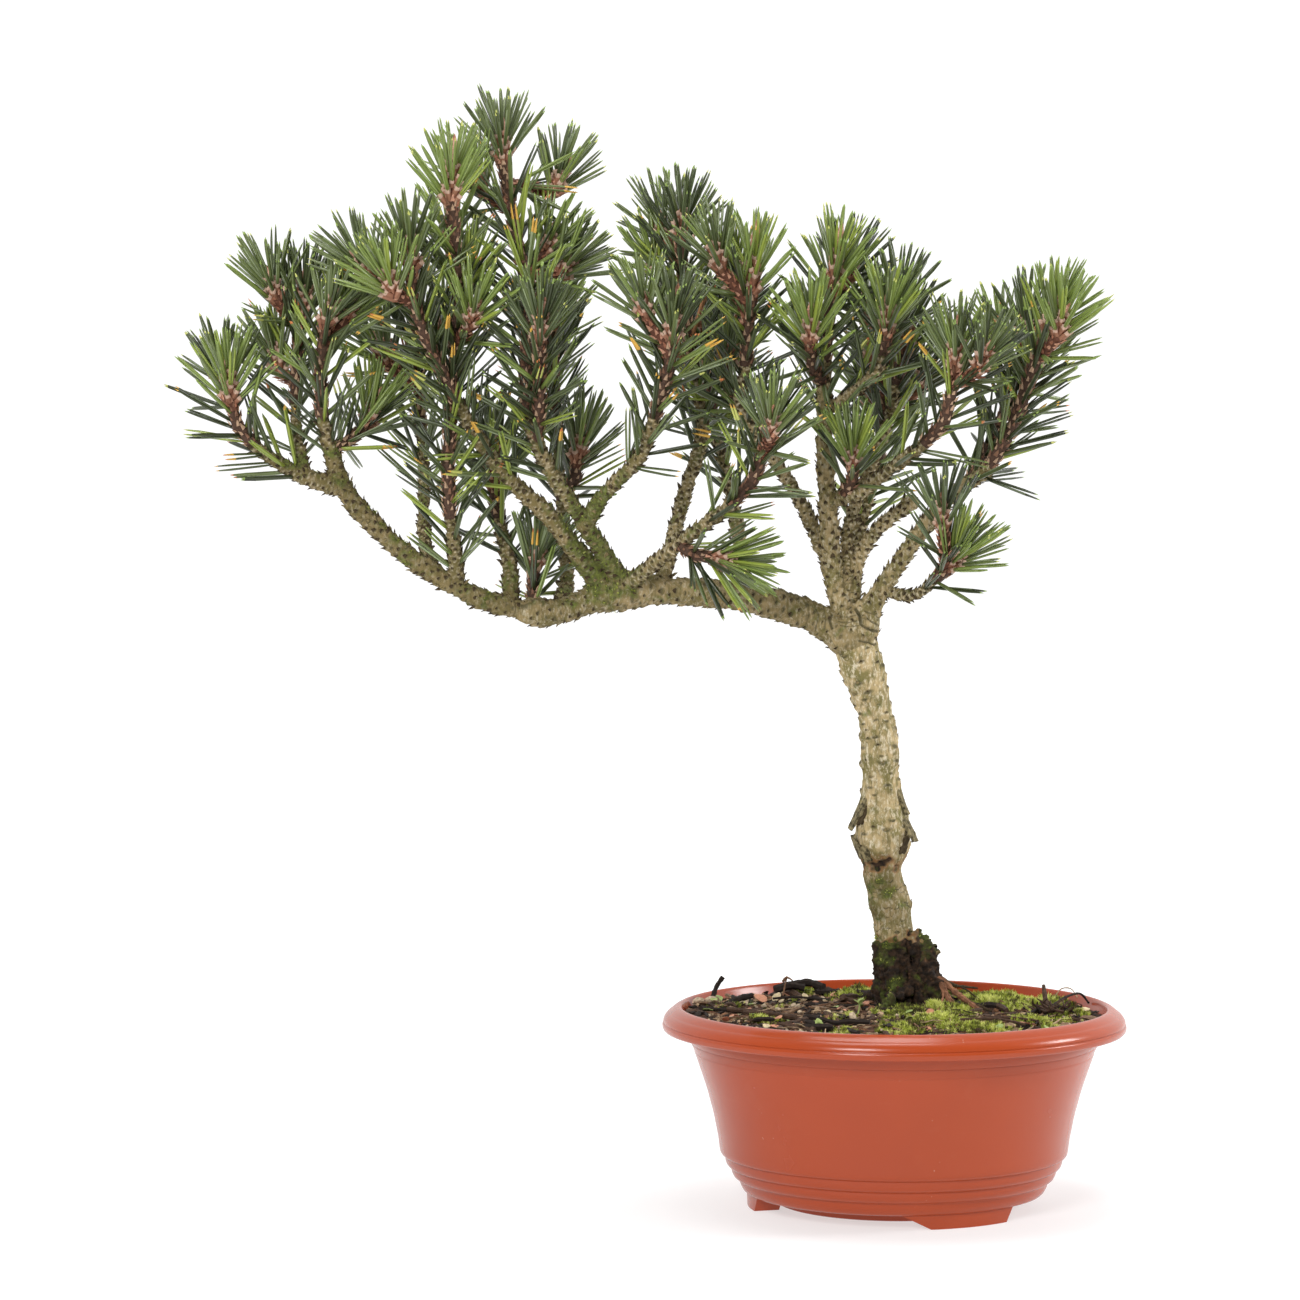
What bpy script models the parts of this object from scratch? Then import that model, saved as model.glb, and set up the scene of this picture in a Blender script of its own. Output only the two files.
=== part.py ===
# A small Japanese black pine trained with a long bough to one side, in a round plastic training bowl.
# Metres, +Z up, +X to the right as seen from the front, +Y to the back. The origin is the middle of
# the bowl's underside, on the surface that it stands on.
import math
import random

import bmesh
import bpy
import numpy as np
from mathutils import Vector

MM = 0.001
GAP = 0.3 * MM  # between neighbours
SEED = 11
GOLDEN_ANGLE = math.radians(137.5)
MERGE = 0.001 * MM

# Bowl
# Its walls and its rim as (radius, height) in mm, from the bottom up
OUTER_WALL = ((79.6, 13.6), (80.9, 14.4), (83.9, 20), (85, 20.7), (87.3, 26), (88.7, 26.9), (93.9, 50),
              (96.7, 60), (104, 82), (106.6, 85.4))
LIP = ((118.5, 91.2), (120, 93.6), (119, 97.4), (116.2, 100.7), (112.6, 103), (110.5, 103.5))
INNER_WALL = ((57, 6.2), (70, 9.6), (79, 15), (88.5, 34), (94.2, 60), (102.5, 84), (107.6, 98))
FLOOR_TOP = INNER_WALL[0][1] * MM
FLOOR_UNDER = 4 * MM
CENTRE_PAD = 12 * MM  # radius of the pad in the middle, which the bowl also stands on
UNDER_RING = (50 * MM, 51 * MM, 61 * MM)  # radii of the ring outside the drainage holes
UNDER_RING_HEIGHT = 1.8 * MM
FOOT_HEIGHT = 7.3 * MM
FOOT_INSIDE = 62 * MM
FOOT_OUTSIDE = 76.3 * MM
FOOT_TAPER = 0.95
BOWL_SIDES = 36
FEET = 3
FOOT_SIDES = 4  # of the bowl's sides, for each foot
FIRST_FOOT = 28  # the side of the bowl where the first foot starts, counted from +X
HOLES = 5
HOLE_RADIUS = 5 * MM
HOLE_CIRCLE = 33 * MM

# Soil
SOIL_EDGE = 97.5 * MM
GROUND = 101 * MM  # the flat cut under the trunk
SOIL_GAP = 0.4 * MM  # to the bowl
SOIL_BUMPS = 0.9 * MM
SOIL_RINGS = (0.2, 0.36, 0.5, 0.63, 0.76, 0.88)  # of the soil's top radius
SEAT_RADIUS = 30 * MM  # round the trunk, where the soil lies level just under it
# moss cushions: (x, y, height, reach) in mm
CUSHIONS = ((27, -9, 3.2, 15), (50, 12, 3.4, 16), (74, -6, 2.8, 14), (82, 28, 3, 16), (57, 46, 3.4, 17),
            (18, -46, 2.8, 15), (-8, -72, 2.4, 14), (36, -78, 2.8, 16), (66, -46, 2.6, 15), (28, 72, 3, 16),
            (-14, 64, 3, 15), (-44, 74, 2, 12), (-30, -32, 1.6, 12), (-68, -44, 1.6, 12), (-84, 12, 1.6, 12))

# Trunk: middle line, foot to fork
TRUNK_COURSE = ((6, 28, 101), (0, 26, 149), (-6, 25, 177), (-6, 23, 214), (-7, 21, 242), (-12, 19, 265),
                (-21, 16, 294))
TRUNK_FOOT = 10.8 * MM
TRUNK_WAIST = 8.9 * MM
ROOT_FLARE = 6.5 * MM  # added at the ground, dying away over FLARE_HEIGHT
FLARE_HEIGHT = 17 * MM
TRUNK_KNUCKLES = ((0.42, 4.4, 0.045), (1.0, 3.4, 0.12))  # place along it, swelling in mm, spread along it
TRUNK_SIDES = 10
TRUNK_STEP = 10.5 * MM  # between rings

# Boughs: the course of each in mm, and its radius in mm at the root and at the tip. A course starts
# on the middle line of the limb that carries it, and is cut clear of it.
BOUGHS = {
    "bough_left_inner": {
        "course": ((-21, 16, 293), (-46, 13, 306), (-80, 9, 315), (-114, 4, 318), (-144, 0, 318),
                   (-173, -3, 308), (-190, -6, 308)),
        "radius": (8.2, 5.6),
        "knuckles": ((0.72, 3.6, 0.09), (0.97, 1.4, 0.05)),
    },
    "bough_left_outer": {
        "course": ((-190, -6, 308), (-214, -9, 315), (-239, -12, 329), (-260, -14, 345), (-278, -14, 364),
                   (-286, -14, 378)),
        "radius": (5, 4.6),
    },
    "limb_a": {"course": ((-283, -14, 372), (-305, -17, 378), (-324, -21, 390), (-328, -22, 394)),
               "radius": (4.2, 2.8)},
    "limb_b": {"course": ((-303, -17, 379), (-307, -6, 396), (-309, 4, 414)), "radius": (2.7, 2.2)},
    "limb_c": {"course": ((-285, -14, 375), (-291, -18, 396), (-293, -20, 406)), "radius": (3.9, 3.1)},
    "limb_m": {"course": ((-225, -10, 320), (-226, -18, 338), (-228, -23, 356)), "radius": (3.4, 2.8)},
    "limb_n": {"course": ((-198, -6, 310), (-199, 6, 332), (-205, 22, 354)), "radius": (3.8, 3)},
    "limb_f": {"course": ((-149, 0, 319), (-165, -8, 340), (-180, -14, 359), (-200, -20, 378),
                          (-217, -26, 402), (-224, -30, 415)), "radius": (5.2, 3)},
    "limb_l": {"course": ((-139, 0, 320), (-161, -14, 355), (-180, -24, 386), (-189, -27, 409)),
               "radius": (4.6, 3)},
    "limb_p": {"course": ((-160, -14, 353), (-148, -22, 370), (-131, -30, 388), (-124, -34, 407)),
               "radius": (3.6, 2.8)},
    "limb_y": {"course": ((-141, -4, 319), (-117, -22, 339), (-92, -34, 358), (-86, -37, 363)),
               "radius": (3.6, 2.7)},
    "limb_q": {"course": ((-121, 4, 319), (-110, 22, 362), (-99, 32, 401), (-103, 35, 430)),
               "radius": (3.4, 2.6)},
    "limb_upright": {"course": ((-21, 16, 294), (-31, 14, 326), (-34, 12, 357), (-36, 11, 396),
                                (-36, 10, 436)), "radius": (6, 3.2)},
    "limb_z": {"course": ((-30, 14, 324), (-46, 18, 360), (-62, 14, 386), (-79, 6, 412), (-77, 4, 434)),
               "radius": (3.6, 2.4)},
    "limb_aa": {"course": ((-24, 15, 320), (-23, 28, 349), (-15, 38, 372), (-3, 44, 401), (3, 46, 425)),
                "radius": (3, 2.2)},
    "limb_w": {"course": ((-34, 12, 364), (-16, 4, 371), (5, -8, 387), (14, -13, 394)), "radius": (3.4, 2.7)},
    "limb_bb": {"course": ((-22, 16, 313), (-18, 22, 334), (-6, 30, 351), (11, 36, 364)),
                "radius": (3.6, 2.8)},
    "limb_right": {"course": ((-20, 16, 297), (-4, 12, 322), (12, 10, 346), (28, 6, 366), (48, 4, 381)),
                   "radius": (4.6, 3.3)},
    "limb_cc": {"course": ((-6, 12, 318), (10, 3, 316), (21, -6, 325)), "radius": (2.4, 2)},
    "limb_v": {"course": ((-36, 11, 411), (-22, 6, 420), (-10, 2, 431), (-6, 0, 440)), "radius": (2.6, 2.2)},
    "limb_back_a": {"course": ((-21, 16, 296), (-20, 48, 317), (-13, 76, 354), (-4, 92, 384)),
                    "radius": (4, 2.6)},
    "limb_back_b": {"course": ((-80, 10, 315), (-78, 40, 333), (-85, 72, 375), (-93, 88, 408)),
                    "radius": (3.8, 2.5)},
    "limb_back_c": {"course": ((-172, -2, 309), (-170, 34, 328), (-174, 62, 375), (-176, 76, 408)),
                    "radius": (3.6, 2.5)},
    "limb_back_d": {"course": ((-239, -11, 329), (-244, 22, 349), (-245, 44, 380), (-247, 52, 404)),
                    "radius": (3.2, 2.3)},
}
BOUGH_SIDES = 6
BOUGH_STEP = 15 * MM  # between rings
GNARL = 0.06  # share of the radius that comes and goes along a limb

# Foliage: the course of each mass's stem in mm, starting on its carrier's middle line; its leading
# shoots, each from the foot of its needles to the tip of its bud; and how many more shoots the
# branching rule adds from the stem.
MASSES = {
    "needles_h": {"stem": ((-228, -23, 356), (-229, -26, 381), (-227, -24, 416), (-224, -22, 470),
                           (-227, -30, 517)),
                  "shoots": (((-227, -30, 517), (-225, -32, 551)), ((-221, -14, 472), (-219, -10, 492))),
                  "more": 2},
    "needles_i": {"stem": ((-189, -27, 409), (-189, -26, 440), (-188, -12, 470), (-196, 2, 505),
                           (-202, 12, 540)),
                  "shoots": (((-202, 12, 540), (-203, 14, 565)), ((-176, 22, 524), (-167, 28, 547)),
                             ((-174, 4, 480), (-162, 8, 495))), "more": 2},
    "needles_a": {"stem": ((-328, -22, 394), (-336, -25, 403), (-340, -27, 416)),
                  "shoots": (((-340, -27, 416), (-341, -30, 440)),), "more": 1},
    "needles_b": {"stem": ((-309, 4, 414), (-309, 10, 438), (-306, 14, 462)),
                  "shoots": (((-306, 14, 462), (-304, 16, 488)), ((-318, 10, 431), (-324, 12, 453))),
                  "more": 1},
    "needles_c": {"stem": ((-293, -20, 406), (-294, -23, 430), (-291, -28, 454)),
                  "shoots": (((-291, -28, 454), (-284, -30, 473)),), "more": 1},
    "needles_e": {"stem": ((-289, -17, 391), (-280, -4, 396), (-272, 10, 404)),
                  "shoots": (((-272, 10, 404), (-265, 16, 424)),), "more": 0},
    "needles_f": {"stem": ((-224, -30, 415), (-236, -36, 440), (-246, -40, 466), (-247, -38, 483)),
                  "shoots": (((-247, -38, 483), (-248, -38, 508)), ((-255, -50, 469), (-262, -56, 489))),
                  "more": 1},
    "needles_l": {"stem": ((-184, -25, 395), (-182, -36, 418), (-182, -44, 446)),
                  "shoots": (((-182, -44, 446), (-179, -46, 468)),), "more": 0},
    "needles_n": {"stem": ((-205, 22, 354), (-208, 34, 372)),
                  "shoots": (((-208, 34, 372), (-208, 40, 394)),), "more": 1},
    "needles_spur": {"stem": ((-186, -6, 309), (-187, 4, 320), (-186, 8, 330)),
                     "shoots": (((-186, 8, 330), (-182, 10, 344)),), "more": 0},
    "needles_ee": {"stem": ((-173, 56, 365), (-166, 46, 376), (-164, 42, 386)),
                   "shoots": (((-164, 42, 386), (-161, 42, 408)),), "more": 0},
    "needles_o": {"stem": ((-124, -34, 407), (-117, -40, 432), (-115, -44, 446)),
                  "shoots": (((-115, -44, 446), (-112, -48, 475)),), "more": 1},
    "needles_q": {"stem": ((-103, 35, 430), (-108, 36, 466), (-110, 36, 500)),
                  "shoots": (((-110, 36, 500), (-107, 38, 527)),), "more": 2},
    "needles_r": {"stem": ((-77, 4, 434), (-74, 2, 473)),
                  "shoots": (((-74, 2, 473), (-71, 2, 510)),), "more": 2},
    "needles_s": {"stem": ((-78, 7, 409), (-85, 24, 420), (-87, 36, 432)),
                  "shoots": (((-87, 36, 432), (-83, 40, 454)),), "more": 0},
    "needles_t": {"stem": ((-36, 10, 436), (-34, 10, 459), (-32, 10, 475)),
                  "shoots": (((-32, 10, 475), (-27, 10, 509)),), "more": 1},
    "needles_u": {"stem": ((-36, 10, 425), (-43, -4, 434), (-44, -14, 446)),
                  "shoots": (((-44, -14, 446), (-44, -20, 468)),), "more": 0},
    "needles_v": {"stem": ((-6, 0, 440), (-5, -3, 452)),
                  "shoots": (((-5, -3, 452), (-4, -6, 474)),), "more": 1},
    "needles_w": {"stem": ((14, -13, 394), (24, -19, 405), (29, -24, 432)),
                  "shoots": (((29, -24, 432), (30, -26, 460)),), "more": 1},
    "needles_dd": {"stem": ((-26, 8, 367), (-22, 0, 376), (-22, -4, 382)),
                   "shoots": (((-22, -4, 382), (-23, -8, 398)),), "more": 0},
    "needles_x": {"stem": ((48, 4, 381), (60, 2, 402), (70, 0, 430), (78, -2, 452)),
                  "shoots": (((78, -2, 452), (88, -4, 480)),), "more": 2},
    "needles_xx": {"stem": ((40, 5, 376), (51, 18, 396), (64, 26, 424), (69, 28, 447)),
                   "shoots": (((69, 28, 447), (71, 32, 475)),), "more": 1},
    "needles_y": {"stem": ((-86, -37, 363), (-75, -43, 374), (-67, -49, 396)),
                  "shoots": (((-67, -49, 396), (-61, -52, 420)),), "more": 1},
    "needles_yy": {"stem": ((-112, -24, 343), (-104, -32, 338), (-94, -36, 336)),
                   "shoots": (((-94, -36, 336), (-78, -40, 333)),), "more": 0},
    "needles_aa": {"stem": ((3, 46, 425), (8, 46, 446)),
                   "shoots": (((8, 46, 446), (10, 48, 470)),), "more": 1},
    "needles_cc": {"stem": ((21, -6, 325), (27, -12, 331)),
                   "shoots": (((27, -12, 331), (36, -17, 342)),), "more": 1},
    "needles_back_a": {"stem": ((-4, 92, 384), (0, 97, 408), (2, 98, 428)),
                       "shoots": (((2, 98, 428), (4, 100, 452)),), "more": 3},
    "needles_back_b": {"stem": ((-93, 88, 408), (-97, 92, 432), (-98, 93, 452)),
                       "shoots": (((-98, 93, 452), (-98, 94, 478)),), "more": 3},
    "needles_back_c": {"stem": ((-176, 76, 408), (-178, 80, 436), (-179, 81, 456)),
                       "shoots": (((-179, 81, 456), (-178, 82, 482)),), "more": 3},
    "needles_back_d": {"stem": ((-247, 52, 404), (-249, 56, 430), (-250, 57, 446)),
                       "shoots": (((-250, 57, 446), (-249, 58, 470)),), "more": 3},
}
STEM_RADIUS = 1.9 * MM
STEM_SIDES = 4
SHOOT_RADII = (1.5, 1.7, 2, 0.9)  # mm: in the stem, at the foot of the needles, at the bud, at its tip
BUD_START = 0.7  # share of the way from the foot of the needles to the tip of the bud
SHOOT_START = 0.6  # share of the stem's last stretch, inside which its own leading shoot starts
STEM_STEP = 12 * MM
SIDE_SHOOT = (16 * MM, 24 * MM)  # reach of a shoot that the rule adds, before its needles
SIDE_LEAN = (math.radians(42), math.radians(60))  # off the stem
SIDE_BUD = 20 * MM
FIRST_FORK = 0.3  # shares of the stem between which those shoots leave it
LAST_FORK = 0.8
NEEDLE_LENGTH = 33 * MM
NEEDLE_RADIUS = 0.95 * MM
NEEDLE_SIDES = 3
NEEDLE_TWIST = 0.4  # turns its section, so that no edge lies along one of the shoot's
NEEDLE_SUNK = 0.35 * MM  # past the middle of the shoot
LEADER_NEEDLES = 9
SIDE_NEEDLES = 6
UNDER_NEEDLES = 1  # old ones under each rosette
OLD_STEP = 8 * MM  # between the old needles along a stem
ROSETTE = (0.03, 0.5)  # where its lowest and highest needles root, from the foot to the bud's tip
NEEDLE_LEAN = (math.radians(50), math.radians(16))  # off the shoot, at the lowest and at the highest
OLD_LEAN = math.radians(58)
OLD_LENGTH = 1.18  # times a young needle
OLD_REACH = 13 * MM  # how far below the rosette they sit
NEEDLE_SPREAD = 0.08  # of the length, either way
CHECKS = 24  # places along a needle or a stretch of shoot that are held clear of other pieces
ROOM = 0.45 * MM  # left round them
CUT_ROOM = 0.35 * MM  # left by a cut
SOLVERS = ("MANIFOLD", "EXACT")
JOIN_TRIES = 12


def clear_scene():
    for old in list(bpy.data.objects):
        bpy.data.objects.remove(old, do_unlink=True)


def material(name, colour, roughness):
    made = bpy.data.materials.new(name)
    made.use_nodes = True
    shader = made.node_tree.nodes["Principled BSDF"]
    shader.inputs["Base Color"].default_value = (*colour, 1)
    shader.inputs["Roughness"].default_value = roughness
    shader.inputs["Metallic"].default_value = 0
    return made


def object_from(name, mesh, finish=None):
    piece = bpy.data.objects.new(name, mesh)
    bpy.context.scene.collection.objects.link(piece)
    if finish:
        mesh.materials.append(finish)
    return piece


def mesh_from(build, name):
    """The mesh that build(bm) makes, with its faces pointing out."""
    bm = bmesh.new()
    build(bm)
    bmesh.ops.recalc_face_normals(bm, faces=bm.faces)
    mesh = bpy.data.meshes.new(name)
    bm.to_mesh(mesh)
    bm.free()
    mesh.shade_smooth()
    mesh.set_sharp_from_angle(angle=math.radians(40))
    return mesh


# Turned shapes

def ring(bm, radius, height, sides):
    corners = [(math.cos(2 * math.pi * k / sides), math.sin(2 * math.pi * k / sides)) for k in range(sides)]
    return [bm.verts.new((radius * x, radius * y, height)) for x, y in corners]


def turn(bm, profile, sides):
    """A closed solid turned from (radius, height) pairs that start and end on the axis. Returns its
    rings and its last point."""
    first = bm.verts.new((0, 0, profile[0][1]))
    last = bm.verts.new((0, 0, profile[-1][1]))
    rings = [ring(bm, radius, height, sides) for radius, height in profile[1:-1]]
    for k in range(sides):
        after = (k + 1) % sides
        bm.faces.new((first, rings[0][k], rings[0][after]))
        bm.faces.new((last, rings[-1][after], rings[-1][k]))
        for low, high in zip(rings, rings[1:]):
            bm.faces.new((low[k], high[k], high[after], low[after]))
    return rings, last


def bowl_profile():
    """From the middle of the underside, out and up the outside, over the lip and down inside."""
    start, inside, outside = UNDER_RING
    under = [(0, 0), (CENTRE_PAD, 0), (CENTRE_PAD + MM, FLOOR_UNDER), (start, FLOOR_UNDER)]
    under += [(inside, UNDER_RING_HEIGHT), (outside, UNDER_RING_HEIGHT)]
    under += [(FOOT_INSIDE, FOOT_HEIGHT), (FOOT_OUTSIDE, FOOT_HEIGHT)]
    walls = [(r * MM, z * MM) for r, z in OUTER_WALL + LIP + tuple(reversed(INNER_WALL))]
    return under + walls + [(0, FLOOR_TOP)]


def make_bowl(finish):
    def build(bm):
        turn(bm, bowl_profile(), BOWL_SIDES)
        under = [f for f in bm.faces if all(abs(v.co.z - FOOT_HEIGHT) < MERGE for v in f.verts)]
        middles = [f.calc_center_median() for f in under]
        sides = [math.atan2(m.y, m.x) / (2 * math.pi) % 1 * BOWL_SIDES for m in middles]
        covered = []
        for foot in range(FEET):
            start = FIRST_FOOT + foot * BOWL_SIDES // FEET
            chosen = [f for f, side in zip(under, sides) if (side - start) % BOWL_SIDES < FOOT_SIDES]
            made = bmesh.ops.extrude_face_region(bm, geom=chosen)["geom"]
            covered += chosen
            points = [v for v in made if isinstance(v, bmesh.types.BMVert)]
            middle = sum((v.co for v in points), Vector()) / len(points)
            for v in points:
                v.co = middle + (v.co - middle) * FOOT_TAPER
                v.co.z = 0
        bmesh.ops.delete(bm, geom=covered, context="FACES_ONLY")

    bowl = object_from("pot", mesh_from(build, "pot"), finish)
    for k in range(HOLES):
        angle = 2 * math.pi * k / HOLES
        place = (HOLE_CIRCLE * math.cos(angle), HOLE_CIRCLE * math.sin(angle), FLOOR_TOP / 2)
        bpy.ops.mesh.primitive_cylinder_add(vertices=12, radius=HOLE_RADIUS, depth=4 * FLOOR_TOP,
                                            location=place)
        cutter = bpy.context.object
        cutter.name = f"drain_cutter_{k}"
        cut(bowl, cutter)
    return bowl


def cushion_rise(place, x, y, height, reach):
    away = (place / MM - Vector((x, y))).length / reach
    return height * MM * math.exp(-away ** 2)


def make_soil(finish):
    rng = random.Random(SEED)
    trunk = Vector(TRUNK_COURSE[0]).xy * MM

    def build(bm):
        side = [(r * MM - SOIL_GAP, z * MM + SOIL_GAP) for r, z in INNER_WALL[:-1]]
        slope = (INNER_WALL[-1][0] - INNER_WALL[-2][0]) / (INNER_WALL[-1][1] - INNER_WALL[-2][1])
        edge = side[-1][0] + slope * (SOIL_EDGE - side[-1][1])
        top = [(edge * share, SOIL_EDGE) for share in reversed(SOIL_RINGS)]
        profile = [(0, side[0][1])] + side + [(edge, SOIL_EDGE)] + top + [(0, SOIL_EDGE)]
        rings, last = turn(bm, profile, BOWL_SIDES)
        for v in [v for level in rings[-len(top):] for v in level] + [last]:
            rise = (GROUND - GAP - SOIL_EDGE) * max(0, 1 - v.co.xy.length / edge) ** 0.5
            mound = max(cushion_rise(v.co.xy, *cushion) for cushion in CUSHIONS)
            v.co.z = SOIL_EDGE + rise + mound + rng.uniform(-1, 1) * SOIL_BUMPS
            if (v.co.xy - trunk).length < SEAT_RADIUS:
                v.co.z = GROUND - GAP

    return object_from("soil", mesh_from(build, "soil"), finish)


# Courses and tubes

def smooth(points, step):
    """A smooth curve through the points, read off about every step, and how far along it each place is."""
    p = [Vector(point) * MM for point in points]
    ends = [2 * p[0] - p[1]] + p + [2 * p[-1] - p[-2]]
    line = [p[0]]
    for a, b, c, d in zip(ends, ends[1:], ends[2:], ends[3:]):
        count = max(1, round((c - b).length / step))
        bend, swing = 2 * a - 5 * b + 4 * c - d, 3 * b - a - 3 * c + d
        for k in range(1, count + 1):
            t = k / count
            line.append(0.5 * (2 * b + (c - a) * t + bend * t ** 2 + swing * t ** 3))
    lengths = [0]
    for a, b in zip(line, line[1:]):
        lengths.append(lengths[-1] + (b - a).length)
    return line, [length / lengths[-1] for length in lengths]


def tube(bm, line, radii, sides, longer=0.0):
    """A closed tube along line. longer moves its two ends out by that much."""
    heading = (line[1] - line[0]).normalized()
    side = heading.orthogonal().normalized()
    rings = []
    for k, (point, radius) in enumerate(zip(line, radii)):
        before, after = line[max(0, k - 1)], line[min(len(line) - 1, k + 1)]
        heading = (after - before).normalized()
        side = (side - heading * side.dot(heading)).normalized()
        other = heading.cross(side)
        if k == 0:
            point = point - heading * longer
        if k == len(line) - 1:
            point = point + heading * longer
        turns = [2 * math.pi * j / sides for j in range(sides)]
        spokes = [math.cos(a) * side + math.sin(a) * other for a in turns]
        rings.append([bm.verts.new(point + radius * spoke) for spoke in spokes])
    for low, high in zip(rings, rings[1:]):
        for j in range(sides):
            after = (j + 1) % sides
            bm.faces.new((low[j], low[after], high[after], high[j]))
    bm.faces.new(tuple(reversed(rings[0])))
    bm.faces.new(tuple(rings[-1]))


def needle_mesh(name, root, tip):
    """A three-sided spike."""
    axis = (tip - root).normalized()
    side = axis.orthogonal().normalized()
    other = axis.cross(side)

    def build(bm):
        turns = [NEEDLE_TWIST + 2 * math.pi * k / NEEDLE_SIDES for k in range(NEEDLE_SIDES)]
        sunk = root - NEEDLE_SUNK * axis
        spokes = [math.cos(a) * side + math.sin(a) * other for a in turns]
        foot = [bm.verts.new(sunk + NEEDLE_RADIUS * spoke) for spoke in spokes]
        point = bm.verts.new(tip)
        for k in range(NEEDLE_SIDES):
            bm.faces.new((foot[k], foot[(k + 1) % NEEDLE_SIDES], point))
        bm.faces.new(tuple(reversed(foot)))

    return mesh_from(build, name)


def tube_mesh(name, line, radii, sides, grow=0.0):
    fatter = [radius + grow for radius in radii]
    return mesh_from(lambda bm: tube(bm, line, fatter, sides, grow), name)


# Clearances

taken = []  # (start, end, radius, owner) of every stretch of wood and every needle made so far


def claim(owner, line, radii):
    for a, b, ra, rb in zip(line, line[1:], radii, radii[1:]):
        taken.append((a, b, max(ra, rb), owner))


def near(line, radius, owner, room):
    """Owners of what comes within room of a course, other than its own."""
    others = [row for row in taken if row[3] != owner]
    if not others:
        return set()
    starts = np.array([row[0] for row in others])
    runs = np.array([row[1] for row in others]) - starts
    widths = np.array([row[2] for row in others])
    found = set()
    for point in line:
        off = np.array(point) - starts
        along = np.clip((off * runs).sum(1) / np.maximum((runs * runs).sum(1), 1e-12), 0, 1)
        far = np.linalg.norm(off - runs * along[:, None], axis=1)
        found |= {others[k][3] for k in np.flatnonzero(far < widths + radius + room)}
    return found


def faults(mesh):
    """Places where the surface doesn't close, or where it touches itself."""
    bm = bmesh.new()
    bm.from_mesh(mesh)
    places = [v.co.copy() for v in bm.verts if not v.is_manifold]
    bm.free()
    return places


def volume(mesh):
    bm = bmesh.new()
    bm.from_mesh(mesh)
    held = bm.calc_volume(signed=True)
    bm.free()
    return held


def cut(piece, cutter):
    """Takes cutter away from piece, by the other solver where the first gives no clean solid."""
    cutter.hide_render = True
    cutter.display_type = "WIRE"
    whole = piece.data
    for solver in SOLVERS:
        piece.data = whole.copy()
        change = piece.modifiers.new("cut", "BOOLEAN")
        change.operation = "DIFFERENCE"
        change.solver = solver
        change.object = cutter
        apply(piece, change)
        if not faults(piece.data) and 0 < volume(piece.data) < volume(whole):
            break
    bpy.data.objects.remove(cutter, do_unlink=True)


def apply(piece, change):
    with bpy.context.temp_override(object=piece, active_object=piece, selected_objects=[piece]):
        bpy.ops.object.modifier_apply(modifier=change.name)


def keep_largest(piece):
    """Drops any scrap that a cut or a join left loose, and closes up points that lie on each other."""
    bm = bmesh.new()
    bm.from_mesh(piece.data)
    left = set(bm.faces)
    islands = []
    while left:
        waiting = [left.pop()]
        island = []
        while waiting:
            face = waiting.pop()
            island.append(face)
            others = {other for edge in face.edges for other in edge.link_faces} & left
            left -= others
            waiting += others
        islands.append(island)
    islands.sort(key=len)
    for island in islands[:-1]:
        bmesh.ops.delete(bm, geom=island, context="FACES")
    bmesh.ops.remove_doubles(bm, verts=bm.verts, dist=MERGE)
    bm.to_mesh(piece.data)
    bm.free()


wood = {}  # each limb's line, radii and sides, for cutting what starts on it


def cut_clear(piece, line, radius, owner):
    for other in sorted(near(line, radius, owner, 2 * GAP)):
        if other in wood:
            other_line, other_radii, sides = wood[other]
            mesh = tube_mesh("clear_" + other, other_line, other_radii, sides, CUT_ROOM)
            cut(piece, object_from("clear_" + other, mesh))
    keep_largest(piece)


# Trunk and boughs

def swelling(t, knuckles):
    return sum(size * MM * math.exp(-((t - place) / spread) ** 2) for place, size, spread in knuckles)


def make_trunk(finish):
    line, shares = smooth(TRUNK_COURSE, TRUNK_STEP)
    radii = []
    for point, t in zip(line, shares):
        flare = ROOT_FLARE * math.exp(-(point.z - GROUND) / FLARE_HEIGHT)
        radii.append(TRUNK_FOOT + (TRUNK_WAIST - TRUNK_FOOT) * t + flare + swelling(t, TRUNK_KNUCKLES))
    trunk = object_from("trunk", tube_mesh("trunk", line, radii, TRUNK_SIDES), finish)
    for v in trunk.data.vertices[:TRUNK_SIDES]:
        v.co.z = GROUND
    wood["trunk"] = (line, radii, TRUNK_SIDES)
    claim("trunk", line, radii)


def make_bough(name, plan, finish):
    rng = random.Random(SEED + len(wood))
    line, shares = smooth(plan["course"], BOUGH_STEP)
    root, tip = (r * MM for r in plan["radius"])
    radii = []
    for t in shares:
        knots = 1 + GNARL * rng.uniform(-1, 1)
        radii.append((root + (tip - root) * t) * knots + swelling(t, plan.get("knuckles", ())))
    bough = object_from(name, tube_mesh(name, line, radii, BOUGH_SIDES), finish)
    cut_clear(bough, line, max(radii), name)
    wood[name] = (line, radii, BOUGH_SIDES)
    claim(name, line, radii)


# Foliage

def between(a, b, t):
    return a + (b - a) * t


def place_on(line, shares, share):
    k = max(j for j in range(len(line) - 1) if shares[j] <= share)
    return between(line[k], line[k + 1], (share - shares[k]) / (shares[k + 1] - shares[k]))


def around(axis, lean, turn_angle):
    """A direction that leans off axis, turned about it."""
    side = axis.orthogonal().normalized()
    other = axis.cross(side)
    flat = math.cos(turn_angle) * side + math.sin(turn_angle) * other
    return (math.cos(lean) * axis + math.sin(lean) * flat).normalized()


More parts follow.
